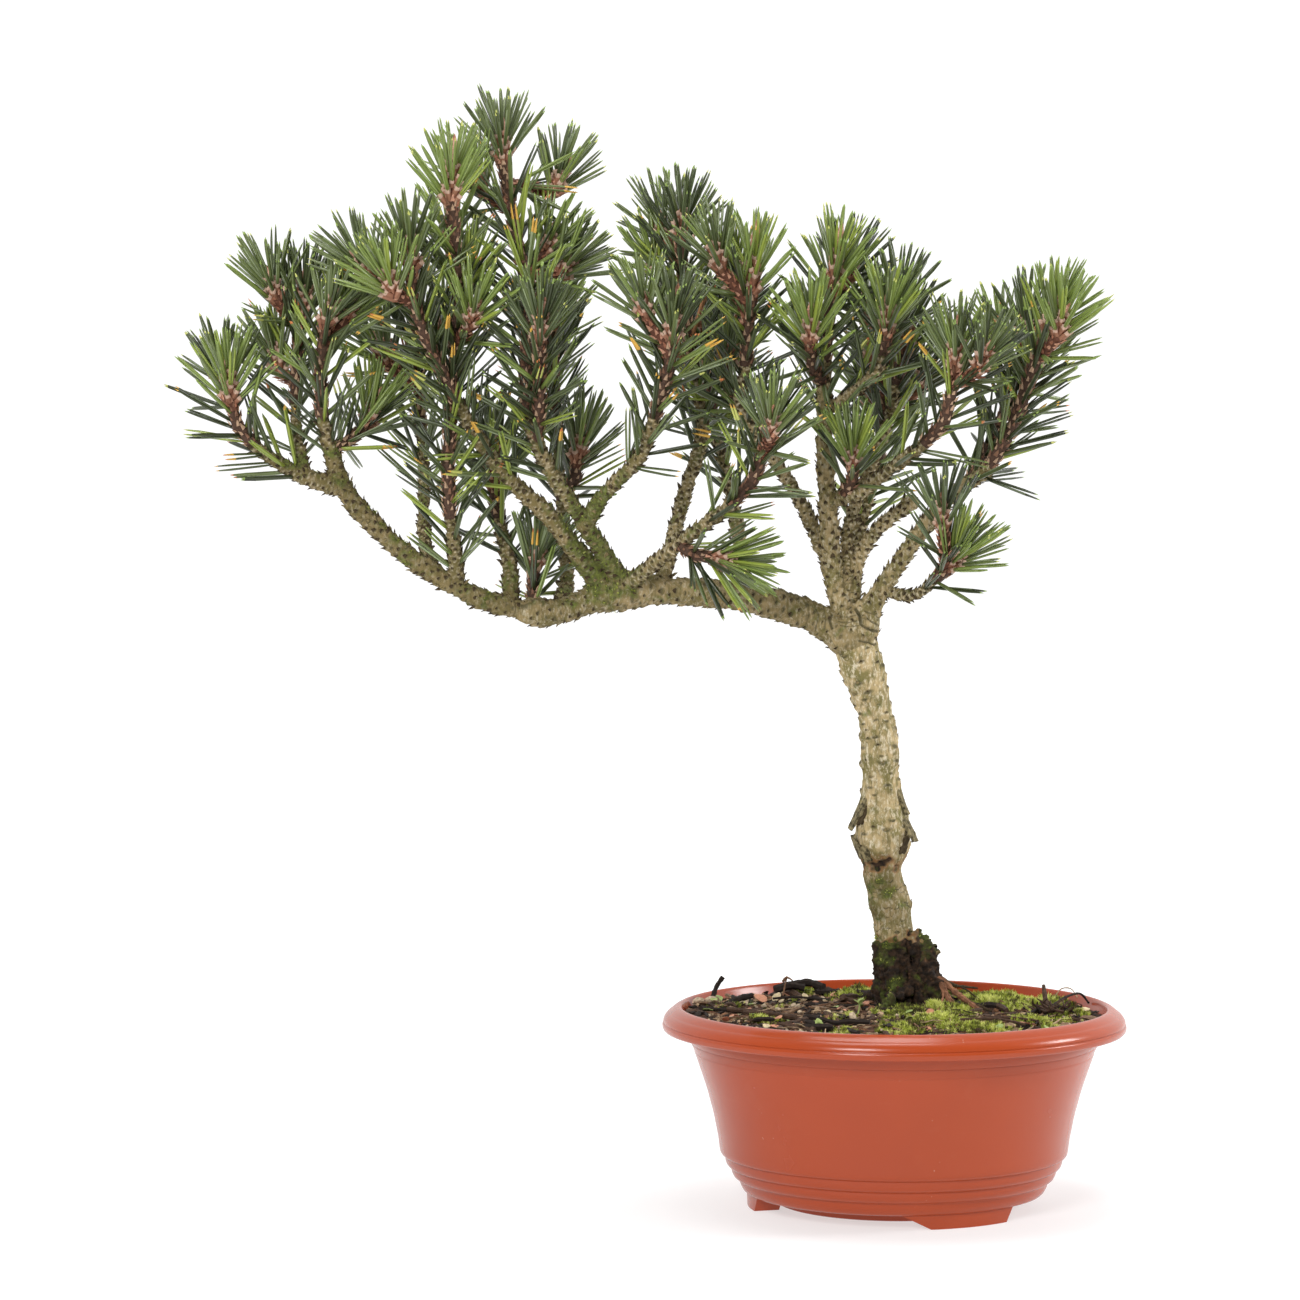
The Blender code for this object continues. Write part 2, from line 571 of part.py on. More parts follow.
def shoots_of(plan, rng):
    """The stem with how far along it each place is, its leading shoots and those that the rule adds. A
    shoot is where it starts, the foot of its needles and the tip of its bud."""
    stem, shares = smooth(plan["stem"], STEM_STEP)
    leaders = []
    for foot, bud in plan["shoots"]:
        foot, bud = Vector(foot) * MM, Vector(bud) * MM
        if (foot - stem[-1]).length < MM:
            leaders.append([between(stem[-2], stem[-1], SHOOT_START), stem[-1], bud])
        else:
            fork = min(stem[1:-1], key=lambda point: (point - foot).length)
            leaders.append([fork, foot, bud])
    others = []
    for k in range(plan["more"]):
        start = place_on(stem, shares, FIRST_FORK + (LAST_FORK - FIRST_FORK) * (k + 1) / plan["more"])
        axis = (stem[-1] - stem[0]).normalized()
        lean = rng.uniform(*SIDE_LEAN)
        heading = around(axis, lean, rng.uniform(0, 2 * math.pi) + k * GOLDEN_ANGLE)
        foot = start + heading * rng.uniform(*SIDE_SHOOT)
        up = (heading + Vector((0, 0, 1))).normalized()
        others.append([start, foot, foot + up * SIDE_BUD])
    return stem, shares, leaders, others


def needles_of(shoot, count, rng):
    """(root, tip) of each needle of a shoot: a rosette below its bud, and older ones under it."""
    start, foot, bud = shoot
    axis = (bud - foot).normalized()
    below = (start - foot).normalized() * min(OLD_REACH, (start - foot).length)
    first = rng.uniform(0, 2 * math.pi)
    found = []
    for k in range(count):
        t = (k + 0.5) / count
        lean = between(NEEDLE_LEAN[0], NEEDLE_LEAN[1], t)
        root = between(foot, bud, ROSETTE[0] + (ROSETTE[1] - ROSETTE[0]) * t)
        length = NEEDLE_LENGTH * (1 + NEEDLE_SPREAD * rng.uniform(-1, 1))
        found.append((root, root + length * around(axis, lean, first + k * GOLDEN_ANGLE)))
    for k in range(UNDER_NEEDLES):
        root = foot + below * (k + 0.5) / UNDER_NEEDLES
        length = OLD_LENGTH * NEEDLE_LENGTH * (1 + NEEDLE_SPREAD * rng.uniform(-1, 1))
        found.append((root, root + length * around(axis, OLD_LEAN, first + 1 + k * GOLDEN_ANGLE)))
    return found


def old_needles_of(stem, shares, rng):
    """(root, tip) of the old needles along a stem, above its first stretch."""
    length = sum((b - a).length for a, b in zip(stem, stem[1:]))
    first = rng.uniform(0, 2 * math.pi)
    found = []
    for k in range(int((length - OLD_REACH) / OLD_STEP)):
        root, ahead = (place_on(stem, shares, (OLD_REACH + j * OLD_STEP) / length) for j in (k, k + 1))
        axis = (ahead - root).normalized()
        reach = OLD_LENGTH * NEEDLE_LENGTH * (1 + NEEDLE_SPREAD * rng.uniform(-1, 1))
        found.append((root, root + reach * around(axis, OLD_LEAN, first + k * GOLDEN_ANGLE)))
    return found


def with_bud(shoot):
    """The shoot with one more point, where its bud is thickest, and its radii."""
    start, foot, bud = shoot
    return [start, foot, between(foot, bud, BUD_START), bud], [radius * MM for radius in SHOOT_RADII]


def add_part(parts, mesh):
    parts.objects.link(bpy.data.objects.new(mesh.name, mesh))


def add_shoot(parts, name, shoot):
    line, radii = with_bud(shoot)
    add_part(parts, tube_mesh(parts.name, line, radii, STEM_SIDES))
    claim(name, line, radii)


def start_mass(name, plan, finish, number):
    """The stem, cut clear of what carries it, and the leading shoots."""
    rng = random.Random(SEED * 100 + number)
    stem, shares, leaders, others = shoots_of(plan, rng)
    radii = [STEM_RADIUS] * len(stem)
    mass = object_from(name, tube_mesh(name, stem, radii, STEM_SIDES), finish)
    cut_clear(mass, stem, STEM_RADIUS, name)
    claim(name, stem, radii)
    parts = bpy.data.collections.new(name + "_part")
    bpy.context.scene.collection.children.link(parts)
    for shoot in leaders:
        add_shoot(parts, name, shoot)
    old = old_needles_of(stem, shares, rng)
    return {"mass": mass, "parts": parts, "leaders": leaders, "others": others, "old": old, "rng": rng}


def add_others(name, growth):
    """The shoots that the branching rule gives, without those that would touch a neighbour."""
    kept = []
    for shoot in growth["others"]:
        line, radii = with_bud(shoot)
        points = [between(a, b, k / CHECKS) for a, b in zip(line, line[1:]) for k in range(CHECKS + 1)]
        outside = [point for point in points if (point - line[0]).length > 3 * STEM_RADIUS]
        if not near(outside, max(radii), name, ROOM):
            add_shoot(growth["parts"], name, shoot)
            kept.append(shoot)
    growth["others"] = kept


def add_needles(name, growth):
    """Needles on every shoot, without those that would touch a neighbour. Returns how many there are."""
    made = 0
    wanted = list(growth["old"])
    for shoots, count in ((growth["leaders"], LEADER_NEEDLES), (growth["others"], SIDE_NEEDLES)):
        for shoot in shoots:
            wanted += needles_of(shoot, count, growth["rng"])
    for root, tip in wanted:
        points = [between(root, tip, k / CHECKS) for k in range(1, CHECKS + 1)]
        if near(points, NEEDLE_RADIUS, name, ROOM):
            continue
        add_part(growth["parts"], needle_mesh(growth["parts"].name, root, tip))
        taken.append((root, tip, NEEDLE_RADIUS, name))
        made += 1
    return made


def join_mass(growth):
    """One solid from the stem and its parts. A join that comes out unclean is made again by the
    other solver, and then without the needle nearest to the fault."""
    mass, parts = growth["mass"], growth["parts"]
    stem = mass.data
    for attempt in range(JOIN_TRIES):
        mass.data = stem.copy()
        change = mass.modifiers.new("join", "BOOLEAN")
        change.operation = "UNION"
        change.operand_type = "COLLECTION"
        change.collection = parts
        change.solver = SOLVERS[attempt % len(SOLVERS)]
        apply(mass, change)
        keep_largest(mass)
        places = faults(mass.data)
        if not places:
            break
        if attempt % len(SOLVERS) == len(SOLVERS) - 1:
            spikes = [piece for piece in parts.objects if len(piece.data.vertices) == NEEDLE_SIDES + 1]
            worst = min(spikes, key=lambda piece: min((v.co - places[0]).length for v in piece.data.vertices))
            bpy.data.objects.remove(worst, do_unlink=True)
    for piece in list(parts.objects):
        bpy.data.objects.remove(piece, do_unlink=True)
    bpy.data.collections.remove(parts)


def main():
    clear_scene()
    clay = material("pot_plastic", (0.50, 0.13, 0.06), 0.42)
    earth = material("soil_and_moss", (0.07, 0.05, 0.03), 0.95)
    bark = material("bark", (0.25, 0.21, 0.12), 0.85)
    green = material("needle_green", (0.05, 0.13, 0.05), 0.5)
    make_bowl(clay)
    make_soil(earth)
    make_trunk(bark)
    for name, plan in BOUGHS.items():
        make_bough(name, plan, bark)
    growths = {}
    for number, (name, plan) in enumerate(MASSES.items()):
        growths[name] = start_mass(name, plan, green, number)
    for name, growth in growths.items():
        add_others(name, growth)
    needles = sum(add_needles(name, growth) for name, growth in growths.items())
    for growth in growths.values():
        join_mass(growth)
    print(f"{needles} needles in {len(growths)} masses")


main()
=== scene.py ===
import math
import random

import bpy
import numpy as np
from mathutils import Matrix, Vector, noise


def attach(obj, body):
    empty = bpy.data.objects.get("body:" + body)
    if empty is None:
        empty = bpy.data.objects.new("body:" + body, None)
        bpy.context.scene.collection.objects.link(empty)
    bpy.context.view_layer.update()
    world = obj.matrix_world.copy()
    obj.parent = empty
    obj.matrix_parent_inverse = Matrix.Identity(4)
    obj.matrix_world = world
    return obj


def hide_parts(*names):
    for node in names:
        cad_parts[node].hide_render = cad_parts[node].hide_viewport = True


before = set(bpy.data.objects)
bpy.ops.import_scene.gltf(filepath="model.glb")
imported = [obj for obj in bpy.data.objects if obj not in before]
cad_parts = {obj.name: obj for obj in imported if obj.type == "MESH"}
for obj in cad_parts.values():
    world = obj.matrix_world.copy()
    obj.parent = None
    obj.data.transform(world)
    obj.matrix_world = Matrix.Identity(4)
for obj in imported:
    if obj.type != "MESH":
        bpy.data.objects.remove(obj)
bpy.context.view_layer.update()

mm = 0.001
goldenAngle = math.radians(137.5)
crownSeed = 11
up = Vector((0, 0, 1))
anyTurn = 6.28  # for a turn that is left to chance, in radians
farOff = 1e9
groundLevel = 101  # of the flat cut under the trunk, in mm


# small helpers

def selectNone():
    if bpy.context.mode != "OBJECT":
        bpy.ops.object.mode_set(mode="OBJECT")
    bpy.ops.object.select_all(action="DESELECT")


def selectOnly(*pieces):
    selectNone()
    for piece in pieces:
        piece.select_set(True)
    bpy.context.view_layer.objects.active = pieces[0]


def applyModifier(piece, kind, **settings):
    change = piece.modifiers.new(kind.lower(), kind)
    for key, value in settings.items():
        setattr(change, key, value)
    selectOnly(piece)
    bpy.ops.object.modifier_apply(modifier=change.name)


def settle(piece):
    # the place goes into the mesh, and the object stays at the origin
    selectOnly(piece)
    bpy.ops.object.transform_apply(location=True, rotation=True, scale=True)


def finishPiece(piece, nodes=()):
    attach(piece, "root")
    if nodes:
        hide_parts(*nodes)


def mixed(a, b, share):
    return tuple(x + (y - x) * share for x, y in zip(a, b))


# material building

class Shading:
    # a material with its nodes at hand
    def __init__(self, name, colour, roughness, specular=0.5):
        self.material = bpy.data.materials.new(name)
        self.material.use_nodes = True
        self.nodes = self.material.node_tree.nodes
        self.links = self.material.node_tree.links
        self.shader = self.nodes["Principled BSDF"]
        self.shader.inputs["Base Color"].default_value = (*colour, 1)
        self.shader.inputs["Roughness"].default_value = roughness
        self.shader.inputs["Specular IOR Level"].default_value = specular
        self.material.diffuse_color = (*colour, 1)

    def add(self, kind, **values):
        node = self.nodes.new(kind)
        for key, value in values.items():
            if key in node.inputs:
                node.inputs[key].default_value = value
            else:
                setattr(node, key, value)
        return node

    def link(self, source, target):
        self.links.new(source, target)

    def place(self, stretch=(1, 1, 1)):
        # object coordinates, stretched
        coordinates = self.add("ShaderNodeTexCoord")
        mapping = self.add("ShaderNodeMapping")
        mapping.inputs["Scale"].default_value = stretch
        self.link(coordinates.outputs["Object"], mapping.inputs["Vector"])
        return mapping.outputs["Vector"]

    def noise(self, scale, detail=4, roughness=0.55, where=None):
        texture = self.add("ShaderNodeTexNoise", Scale=scale, Detail=detail, Roughness=roughness)
        self.link(where or self.place(), texture.inputs["Vector"])
        return texture.outputs["Fac"]

    def ramp(self, value, stops):
        node = self.add("ShaderNodeValToRGB")
        spots = node.color_ramp.elements
        while len(spots) < len(stops):
            spots.new(0.5)
        for spot, (place, colour) in zip(spots, stops):
            spot.position = place
            spot.color = (*colour, 1)
        self.link(value, node.inputs["Fac"])
        return node.outputs["Color"]

    def mix(self, share, first, second, blend="MIX"):
        node = self.add("ShaderNodeMix", data_type="RGBA", blend_type=blend)
        for value, key in ((share, "Factor"), (first, "A"), (second, "B")):
            target = node.inputs[key]
            if isinstance(value, (int, float)):
                target.default_value = value
            elif isinstance(value, tuple):
                target.default_value = (*value, 1)
            else:
                self.link(value, target)
        return node.outputs["Result"]

    def math(self, operation, first, second=None):
        node = self.add("ShaderNodeMath", operation=operation)
        for value, target in zip((first, second), node.inputs):
            if isinstance(value, (int, float)):
                target.default_value = value
            elif value is not None:
                self.link(value, target)
        return node.outputs["Value"]

    def range(self, value, low, high, newLow=0.0, newHigh=1.0):
        node = self.add("ShaderNodeMapRange")
        for name, amount in (("From Min", low), ("From Max", high), ("To Min", newLow), ("To Max", newHigh)):
            node.inputs[name].default_value = amount
        self.link(value, node.inputs["Value"])
        return node.outputs["Result"]

    def colour(self, output):
        self.link(output, self.shader.inputs["Base Color"])

    def roughness(self, output):
        self.link(output, self.shader.inputs["Roughness"])

    def bump(self, height, strength, distance):
        node = self.add("ShaderNodeBump", Strength=strength, Distance=distance)
        self.link(height, node.inputs["Height"])
        if self.shader.inputs["Normal"].is_linked:
            self.link(self.shader.inputs["Normal"].links[0].from_socket, node.inputs["Normal"])
        self.link(node.outputs["Normal"], self.shader.inputs["Normal"])


# many small shapes as one mesh

class Heap:
    # gathers copies of small shapes and makes one mesh of them
    def __init__(self):
        self.points = []
        self.corners = []
        self.counts = []
        self.tints = []
        self.total = 0

    def copies(self, shape, origins, acrosses, normals, alongs, tints, bends=None):
        # shape is (points, faces, part of each face), and tints holds a material number for each part
        points, faces, parts = shape
        if not len(origins):
            return
        sets = (origins, acrosses, normals, alongs)
        origins, acrosses, normals, alongs = (np.array(one, dtype=float) for one in sets)
        made = (origins[:, None] + points[None, :, 0, None] * acrosses[:, None]
                + points[None, :, 1, None] * normals[:, None] + points[None, :, 2, None] * alongs[:, None])
        if bends is not None:
            made += (points[None, :, 2, None] ** 2) * np.array(bends, dtype=float)[:, None]
        count = len(origins)
        starts = self.total + np.arange(count) * len(points)
        for face in faces:
            self.corners.append((starts[:, None] + np.array(face)[None, :]).reshape(-1))
            self.counts.append(np.full(count, len(face)))
        tints = np.array(tints)
        if tints.ndim == 1:
            tints = np.repeat(tints[:, None], max(parts) + 1, axis=1)
        for part in parts:
            self.tints.append(tints[:, part])
        self.points.append(made.reshape(-1, 3))
        self.total += count * len(points)

    def one(self, points, faces, tint):
        # one shape of its own
        points = np.array([tuple(point) for point in points], dtype=float)
        for face in faces:
            self.corners.append(np.array(face) + self.total)
            self.counts.append(np.array([len(face)]))
            self.tints.append(np.array([tint]))
        self.points.append(points)
        self.total += len(points)

    def make(self, name, materials, smoothly=True):
        mesh = bpy.data.meshes.new(name)
        points = np.concatenate(self.points)
        corners = np.concatenate(self.corners).astype(np.int32)
        counts = np.concatenate(self.counts).astype(np.int32)
        tints = np.concatenate(self.tints).astype(np.int32)
        mesh.vertices.add(len(points))
        mesh.vertices.foreach_set("co", points.astype(np.float32).reshape(-1))
        mesh.loops.add(len(corners))
        mesh.loops.foreach_set("vertex_index", corners)
        mesh.polygons.add(len(counts))
        starts = np.concatenate([[0], np.cumsum(counts)[:-1]])
        mesh.polygons.foreach_set("loop_start", starts.astype(np.int32))
        for material in materials:
            mesh.materials.append(material)
        mesh.polygons.foreach_set("material_index", tints)
        mesh.polygons.foreach_set("use_smooth", np.full(len(counts), smoothly))
        mesh.update(calc_edges=True)
        mesh.validate()
        piece = bpy.data.objects.new(name, mesh)
        bpy.context.scene.collection.objects.link(piece)
        print(f"{name}: {int((counts - 2).sum())} triangles")
        return piece


def newRows(count=5):
    return [[] for _ in range(count)]


def lay(rows, *values):
    # one more copy: its place, its three axes, and its colour or colours
    for row, value in zip(rows, values):
        row.append(value)


def barShape(rings):
    # a closed bar along z. rings are lists of (x, y, z) with the same number of corners, and a last
    # ring of one corner makes a point
    points = [corner for ring in rings for corner in ring]
    sides = len(rings[0])
    faces = [tuple(reversed(range(sides)))]
    parts = [0]
    for k in range(len(rings) - 1):
        low, high = k * sides, (k + 1) * sides
        for j in range(sides):
            after = (j + 1) % sides
            if len(rings[k + 1]) == 1:
                faces.append((low + j, low + after, high))
            else:
                faces.append((low + j, low + after, high + after, high + j))
            parts.append(k)
    if len(rings[-1]) > 1:
        faces.append(tuple(range(len(points) - sides, len(points))))
        parts.append(len(rings) - 2)
    return np.array(points, dtype=float), faces, parts


def axesFor(along, turn):
    # two unit axes across a direction, turned about it
    side = along.orthogonal().normalized()
    other = along.cross(side)
    across = math.cos(turn) * side + math.sin(turn) * other
    return across, along.cross(across)


def between(a, b, share):
    return a + (b - a) * share


def around(axis, lean, turn):
    # leans off an axis, turned about it
    side = axis.orthogonal().normalized()
    other = axis.cross(side)
    out = math.cos(turn) * side + math.sin(turn) * other
    return (math.cos(lean) * axis + math.sin(lean) * out).normalized()


def smoothCourse(points, step):
    # a smooth curve through points in mm, read off about every step, and how far along it each place is
    p = [Vector(point) * mm for point in points]
    ends = [2 * p[0] - p[1]] + p + [2 * p[-1] - p[-2]]
    line = [p[0]]
    for a, b, c, d in zip(ends, ends[1:], ends[2:], ends[3:]):
        count = max(1, round((c - b).length / step))
        bend, swing = 2 * a - 5 * b + 4 * c - d, 3 * b - a - 3 * c + d
        for k in range(1, count + 1):
            t = k / count
            line.append(0.5 * (2 * b + (c - a) * t + bend * t ** 2 + swing * t ** 3))
    lengths = [0]
    for a, b in zip(line, line[1:]):
        lengths.append(lengths[-1] + (b - a).length)
    return line, [length / lengths[-1] for length in lengths]


def placeOn(line, shares, share):
    k = max(j for j in range(len(line) - 1) if shares[j] <= share)
    return between(line[k], line[k + 1], (share - shares[k]) / (shares[k + 1] - shares[k]))


def courseLength(line):
    return sum((b - a).length for a, b in zip(line, line[1:]))


def sharesOf(line):
    # how far along a line each of its points is
    length = courseLength(line)
    shares = [0]
    for a, b in zip(line, line[1:]):
        shares.append(shares[-1] + (b - a).length / length)
    return shares


# camera, light and floor

view = {
    "place": (-0.12629, -2.2, 0.3904),
    "down": 2.67,  # degrees
    "lens": 118.2,
    "sensor": 36,
    "lights": (  # place, size, watts
        ((-0.85, -2.2, 1.35), 0.8, 42),
        ((2.1, 0.05, 1.0), 0.62, 27),
        ((-0.2, 0.0, 2.5), 1.3, 36),
    ),
    "aim": (-0.08, 0, 0.25),
    "sky": (0.15, 1.1),  # how bright the room is behind the camera, and the backdrop
    "floor": (0.42, 0.42, 0.42),
    "floorGlow": (0.58, 0.88),  # near the pot, and far off where the floor runs into the backdrop
}


def makeStage():
    camera = bpy.data.objects.new("camera", bpy.data.cameras.new("camera"))
    bpy.context.scene.collection.objects.link(camera)
    camera.location = view["place"]
    camera.rotation_euler = (math.radians(90 - view["down"]), 0, 0)
    camera.data.lens = view["lens"]
    camera.data.sensor_width = view["sensor"]
    camera.data.clip_end = 50
    bpy.context.scene.camera = camera
    world = bpy.data.worlds.new("studio")
    world.use_nodes = True
    # a bright backdrop, and a dimmer room on the camera's side
    nodes, links = world.node_tree.nodes, world.node_tree.links
    nodes["Background"].inputs["Color"].default_value = (1, 1, 1, 1)
    direction = nodes.new("ShaderNodeTexCoord")
    split = nodes.new("ShaderNodeSeparateXYZ")
    links.new(direction.outputs["Generated"], split.inputs["Vector"])
    fade = nodes.new("ShaderNodeMapRange")
    dim, bright = view["sky"]
    for name, amount in (("From Min", -0.5), ("From Max", 0.55), ("To Min", dim), ("To Max", bright)):
        fade.inputs[name].default_value = amount
    links.new(split.outputs["Y"], fade.inputs["Value"])
    links.new(fade.outputs["Result"], nodes["Background"].inputs["Strength"])
    bpy.context.scene.world = world
    for number, (place, size, watts) in enumerate(view["lights"]):
        light = bpy.data.lights.new(f"softbox{number}", "AREA")
        light.size = size
        light.energy = watts
        lamp = bpy.data.objects.new(f"softbox{number}", light)
        bpy.context.scene.collection.objects.link(lamp)
        lamp.location = place
        lamp.rotation_euler = (Vector(view["aim"]) - Vector(place)).to_track_quat("-Z", "Y").to_euler()
    selectNone()
    bpy.ops.mesh.primitive_plane_add(size=12)
    floor = bpy.context.object
    floor.name = "floor"
    paint = Shading("paleFloor", view["floor"], 0.8, 0.2)
    paint.shader.inputs["Emission Color"].default_value = (1, 1, 1, 1)
    distance = paint.add("ShaderNodeVectorMath", operation="LENGTH")
    paint.link(paint.place(), distance.inputs[0])
    glow = paint.range(distance.outputs["Value"], 0.25, 1.3, *view["floorGlow"])
    paint.link(glow, paint.shader.inputs["Emission Strength"])
    floor.data.materials.append(paint.material)
    bpy.context.scene.view_settings.view_transform = "Standard"


makeStage()
print("camera, light and floor are in place")


# pot: round bowl turned ring by ring, outside and inside in one wall

pot = {
    "sides": 160,
    # (radius, height) in mm, from the pad under the middle, out, up, over the lip and down inside
    "under": ((12, 0), (13, 0.4), (13.4, 4), (50, 4), (50.6, 2.2), (51.4, 1.8), (60.4, 1.8), (61.2, 2.2),
              (62, 7.3), (76.1, 7.3)),
    "foot": ((77.0, 7.6), (78.1, 8.6), (79.2, 10.6), (79.8, 12.4), (79.9, 13.6), (80.3, 14.1), (81.6, 14.5),
             (82.9, 15.5), (83.8, 17.2), (84.2, 18.9), (84.1, 19.9), (84.5, 20.4), (85.7, 20.8), (86.6, 21.8),
             (87.2, 23.4), (87.4, 25.2), (87.4, 26.1), (87.9, 26.5), (89.0, 26.9), (89.8, 27.9), (90.2, 29.6),
             (90.5, 32.2), (91, 36)),
    "belly": ((92, 41), (93, 46), (93.9, 50), (95.3, 55), (96.6, 60), (98.2, 65), (99.9, 70), (101.6, 75),
              (103.1, 79.3)),
    "grooves": ((103.35, 79.9), (103.3, 80.3), (103.5, 80.8), (104.1, 82.4), (104.9, 84), (105.05, 84.5),
                (105.0, 84.9), (105.3, 85.3), (106.2, 86.9), (106.6, 88.4), (106.8, 90)),
    "lip": ((107.2, 92.2), (108.4, 93.6), (111.6, 94.2), (115.2, 93.6), (117.2, 92.3), (117.8, 91.4),
            (118.3, 91.15), (118.9, 91.3), (119.5, 91.9), (119.85, 92.8), (119.95, 93.7), (119.85, 94.5),
            (119.55, 95.0), (119.2, 95.25), (119.15, 95.45), (119.45, 95.75), (119.4, 96.4), (119.0, 97.5),
            (118.3, 98.6), (117.5, 99.5), (116.9, 100.0), (116.5, 100.15), (116.0, 100.6), (114.9, 101.6),
            (113.7, 102.5), (112.6, 103.05), (111.6, 103.4), (110.9, 103.45), (110.3, 103.2), (109.9, 102.7)),
    "inside": ((109.6, 101.8), (108.2, 98.2), (105.4, 91.6), (102.5, 84), (98.4, 72), (94.2, 60),
               (91.2, 46.5), (88.5, 34), (83.6, 24), (79, 15), (70, 9.6), (57, 6.2), (44, 6.2), (20, 6.2)),
    "drainHoles": (5, 33, 5),  # how many, on what circle, radius in mm
    "feet": (3, 269.5, 50),  # how many, where the first starts and how wide each is, in degrees
    "footRing": (62, 76.1, 7.3),  # the ring that the feet are pulled down from: its radii and its height
    "footMiddle": (69.2, 0.95),  # radius of a foot's middle, and how much narrower its sole is
    "sole": (0.23, 0.93),  # where a foot's sole starts and ends, as shares of its width
    "colour": (0.390, 0.057, 0.0125),
    "dustColour": (0.48, 0.15, 0.08),
}


def turnRings(profile, sides):
    # a circle, pulled out ring by ring
    selectNone()
    radius, height = profile[0]
    bpy.ops.mesh.primitive_circle_add(vertices=sides, radius=radius * mm, location=(0, 0, height * mm))
    turned = bpy.context.object
    bpy.ops.object.mode_set(mode="EDIT")
    bpy.ops.mesh.select_all(action="SELECT")
    bpy.ops.mesh.edge_face_add()
    bpy.ops.mesh.select_mode(type="EDGE")
    for (radius, height), (newRadius, newHeight) in zip(profile, profile[1:]):
        bpy.ops.mesh.extrude_edges_move(TRANSFORM_OT_translate={"value": (0, 0, (newHeight - height) * mm)})
        share = newRadius / radius
        bpy.ops.transform.resize(value=(share, share, 1), center_override=(0, 0, newHeight * mm))
    bpy.ops.mesh.edge_face_add()
    bpy.ops.object.mode_set(mode="OBJECT")
    settle(turned)
    return turned


def pickFaces(piece, wanted):
    selectOnly(piece)
    bpy.ops.object.mode_set(mode="EDIT")
    bpy.ops.mesh.select_mode(type="FACE")
    bpy.ops.mesh.select_all(action="DESELECT")
    bpy.ops.object.mode_set(mode="OBJECT")
    for face in piece.data.polygons:
        if wanted(face.center):
            face.select = True
    bpy.ops.object.mode_set(mode="EDIT")


def addFeet(bowl):
    count, first, width = pot["feet"]
    inner, outer, drop = pot["footRing"]
    middle, draw = pot["footMiddle"]
    low, high = pot["sole"]
    for k in range(count):
        start = first + k * 360 / count

        def onFoot(centre):
            turn = math.degrees(math.atan2(centre.y, centre.x)) - start
            onRing = abs(centre.z - drop * mm) < 0.1 * mm and inner * mm < centre.xy.length < outer * mm
            return onRing and turn % 360 < width

        pickFaces(bowl, onFoot)
        bpy.ops.mesh.extrude_region_move(TRANSFORM_OT_translate={"value": (0, 0, -drop * mm)})
        bpy.ops.object.mode_set(mode="OBJECT")
        for vertex in bowl.data.vertices:
            if vertex.select:
                share = (math.degrees(math.atan2(vertex.co.y, vertex.co.x)) - start + 20) % 360 - 20
                far = vertex.co.xy.length
                far = middle * mm + (far - middle * mm) * draw
                angle = math.radians(start + width * (low + (high - low) * share / width))
                vertex.co.x, vertex.co.y = far * math.cos(angle), far * math.sin(angle)


def potPlastic():
    finish = Shading("terracottaPlastic", pot["colour"], 0.25, 0.4)
    cloudy = finish.noise(9, 3)
    base = finish.ramp(cloudy, ((0.3, mixed(pot["colour"], (0.31, 0.042, 0.011), 0.6)), (0.7, pot["colour"])))
    dusty = finish.range(finish.noise(26, 6, 0.68), 0.6, 0.85, 0, 0.1)
    base = finish.mix(dusty, base, pot["dustColour"])
    specks = finish.add("ShaderNodeTexVoronoi", Scale=230.0)
    finish.link(finish.place(), specks.inputs["Vector"])
    picked = finish.range(finish.noise(31, 2), 0.6, 0.66)
    speckle = finish.math("MULTIPLY", finish.range(specks.outputs["Distance"], 0.08, 0.05), picked)
    base = finish.mix(finish.math("MULTIPLY", speckle, 0.55), base, (0.62, 0.42, 0.30))
    scuffs = finish.range(finish.noise(30, 3, 0.5, finish.place((0.25, 0.25, 3.2))), 0.68, 0.78, 0, 0.08)
    finish.colour(finish.mix(scuffs, base, (0.56, 0.2, 0.12)))
    finish.roughness(finish.range(finish.noise(24, 4, 0.6), 0.3, 0.75, 0.22, 0.28))
    finish.bump(finish.noise(900, 3), 0.05, 0.0002)
    return finish.material


def makePot():
    profile = pot["under"] + pot["foot"] + pot["belly"] + pot["grooves"] + pot["lip"] + pot["inside"]
    bowl = turnRings(profile, pot["sides"])
    bowl.name = "bowl"
    addFeet(bowl)
    selectOnly(bowl)
    bpy.ops.object.mode_set(mode="EDIT")
    bpy.ops.mesh.select_all(action="SELECT")
    bpy.ops.mesh.remove_doubles(threshold=0.01 * mm)
    bpy.ops.mesh.normals_make_consistent(inside=False)
    bpy.ops.object.mode_set(mode="OBJECT")
    holes, circle, radius = pot["drainHoles"]
    for k in range(holes):
        turn = 2 * math.pi * k / holes
        selectNone()
        place = (circle * mm * math.cos(turn), circle * mm * math.sin(turn), 0)
        bpy.ops.mesh.primitive_cylinder_add(vertices=28, radius=radius * mm, depth=0.03, location=place)
        drill = bpy.context.object
        applyModifier(bowl, "BOOLEAN", operation="DIFFERENCE", object=drill, solver="MANIFOLD")
        bpy.data.objects.remove(drill, do_unlink=True)
    selectOnly(bowl)
    bpy.ops.object.shade_smooth_by_angle(angle=math.radians(38))
    bowl.data.materials.clear()
    bowl.data.materials.append(potPlastic())
    finishPiece(bowl, ["pot"])


makePot()
print("pot is turned")


# soil, moss and litter

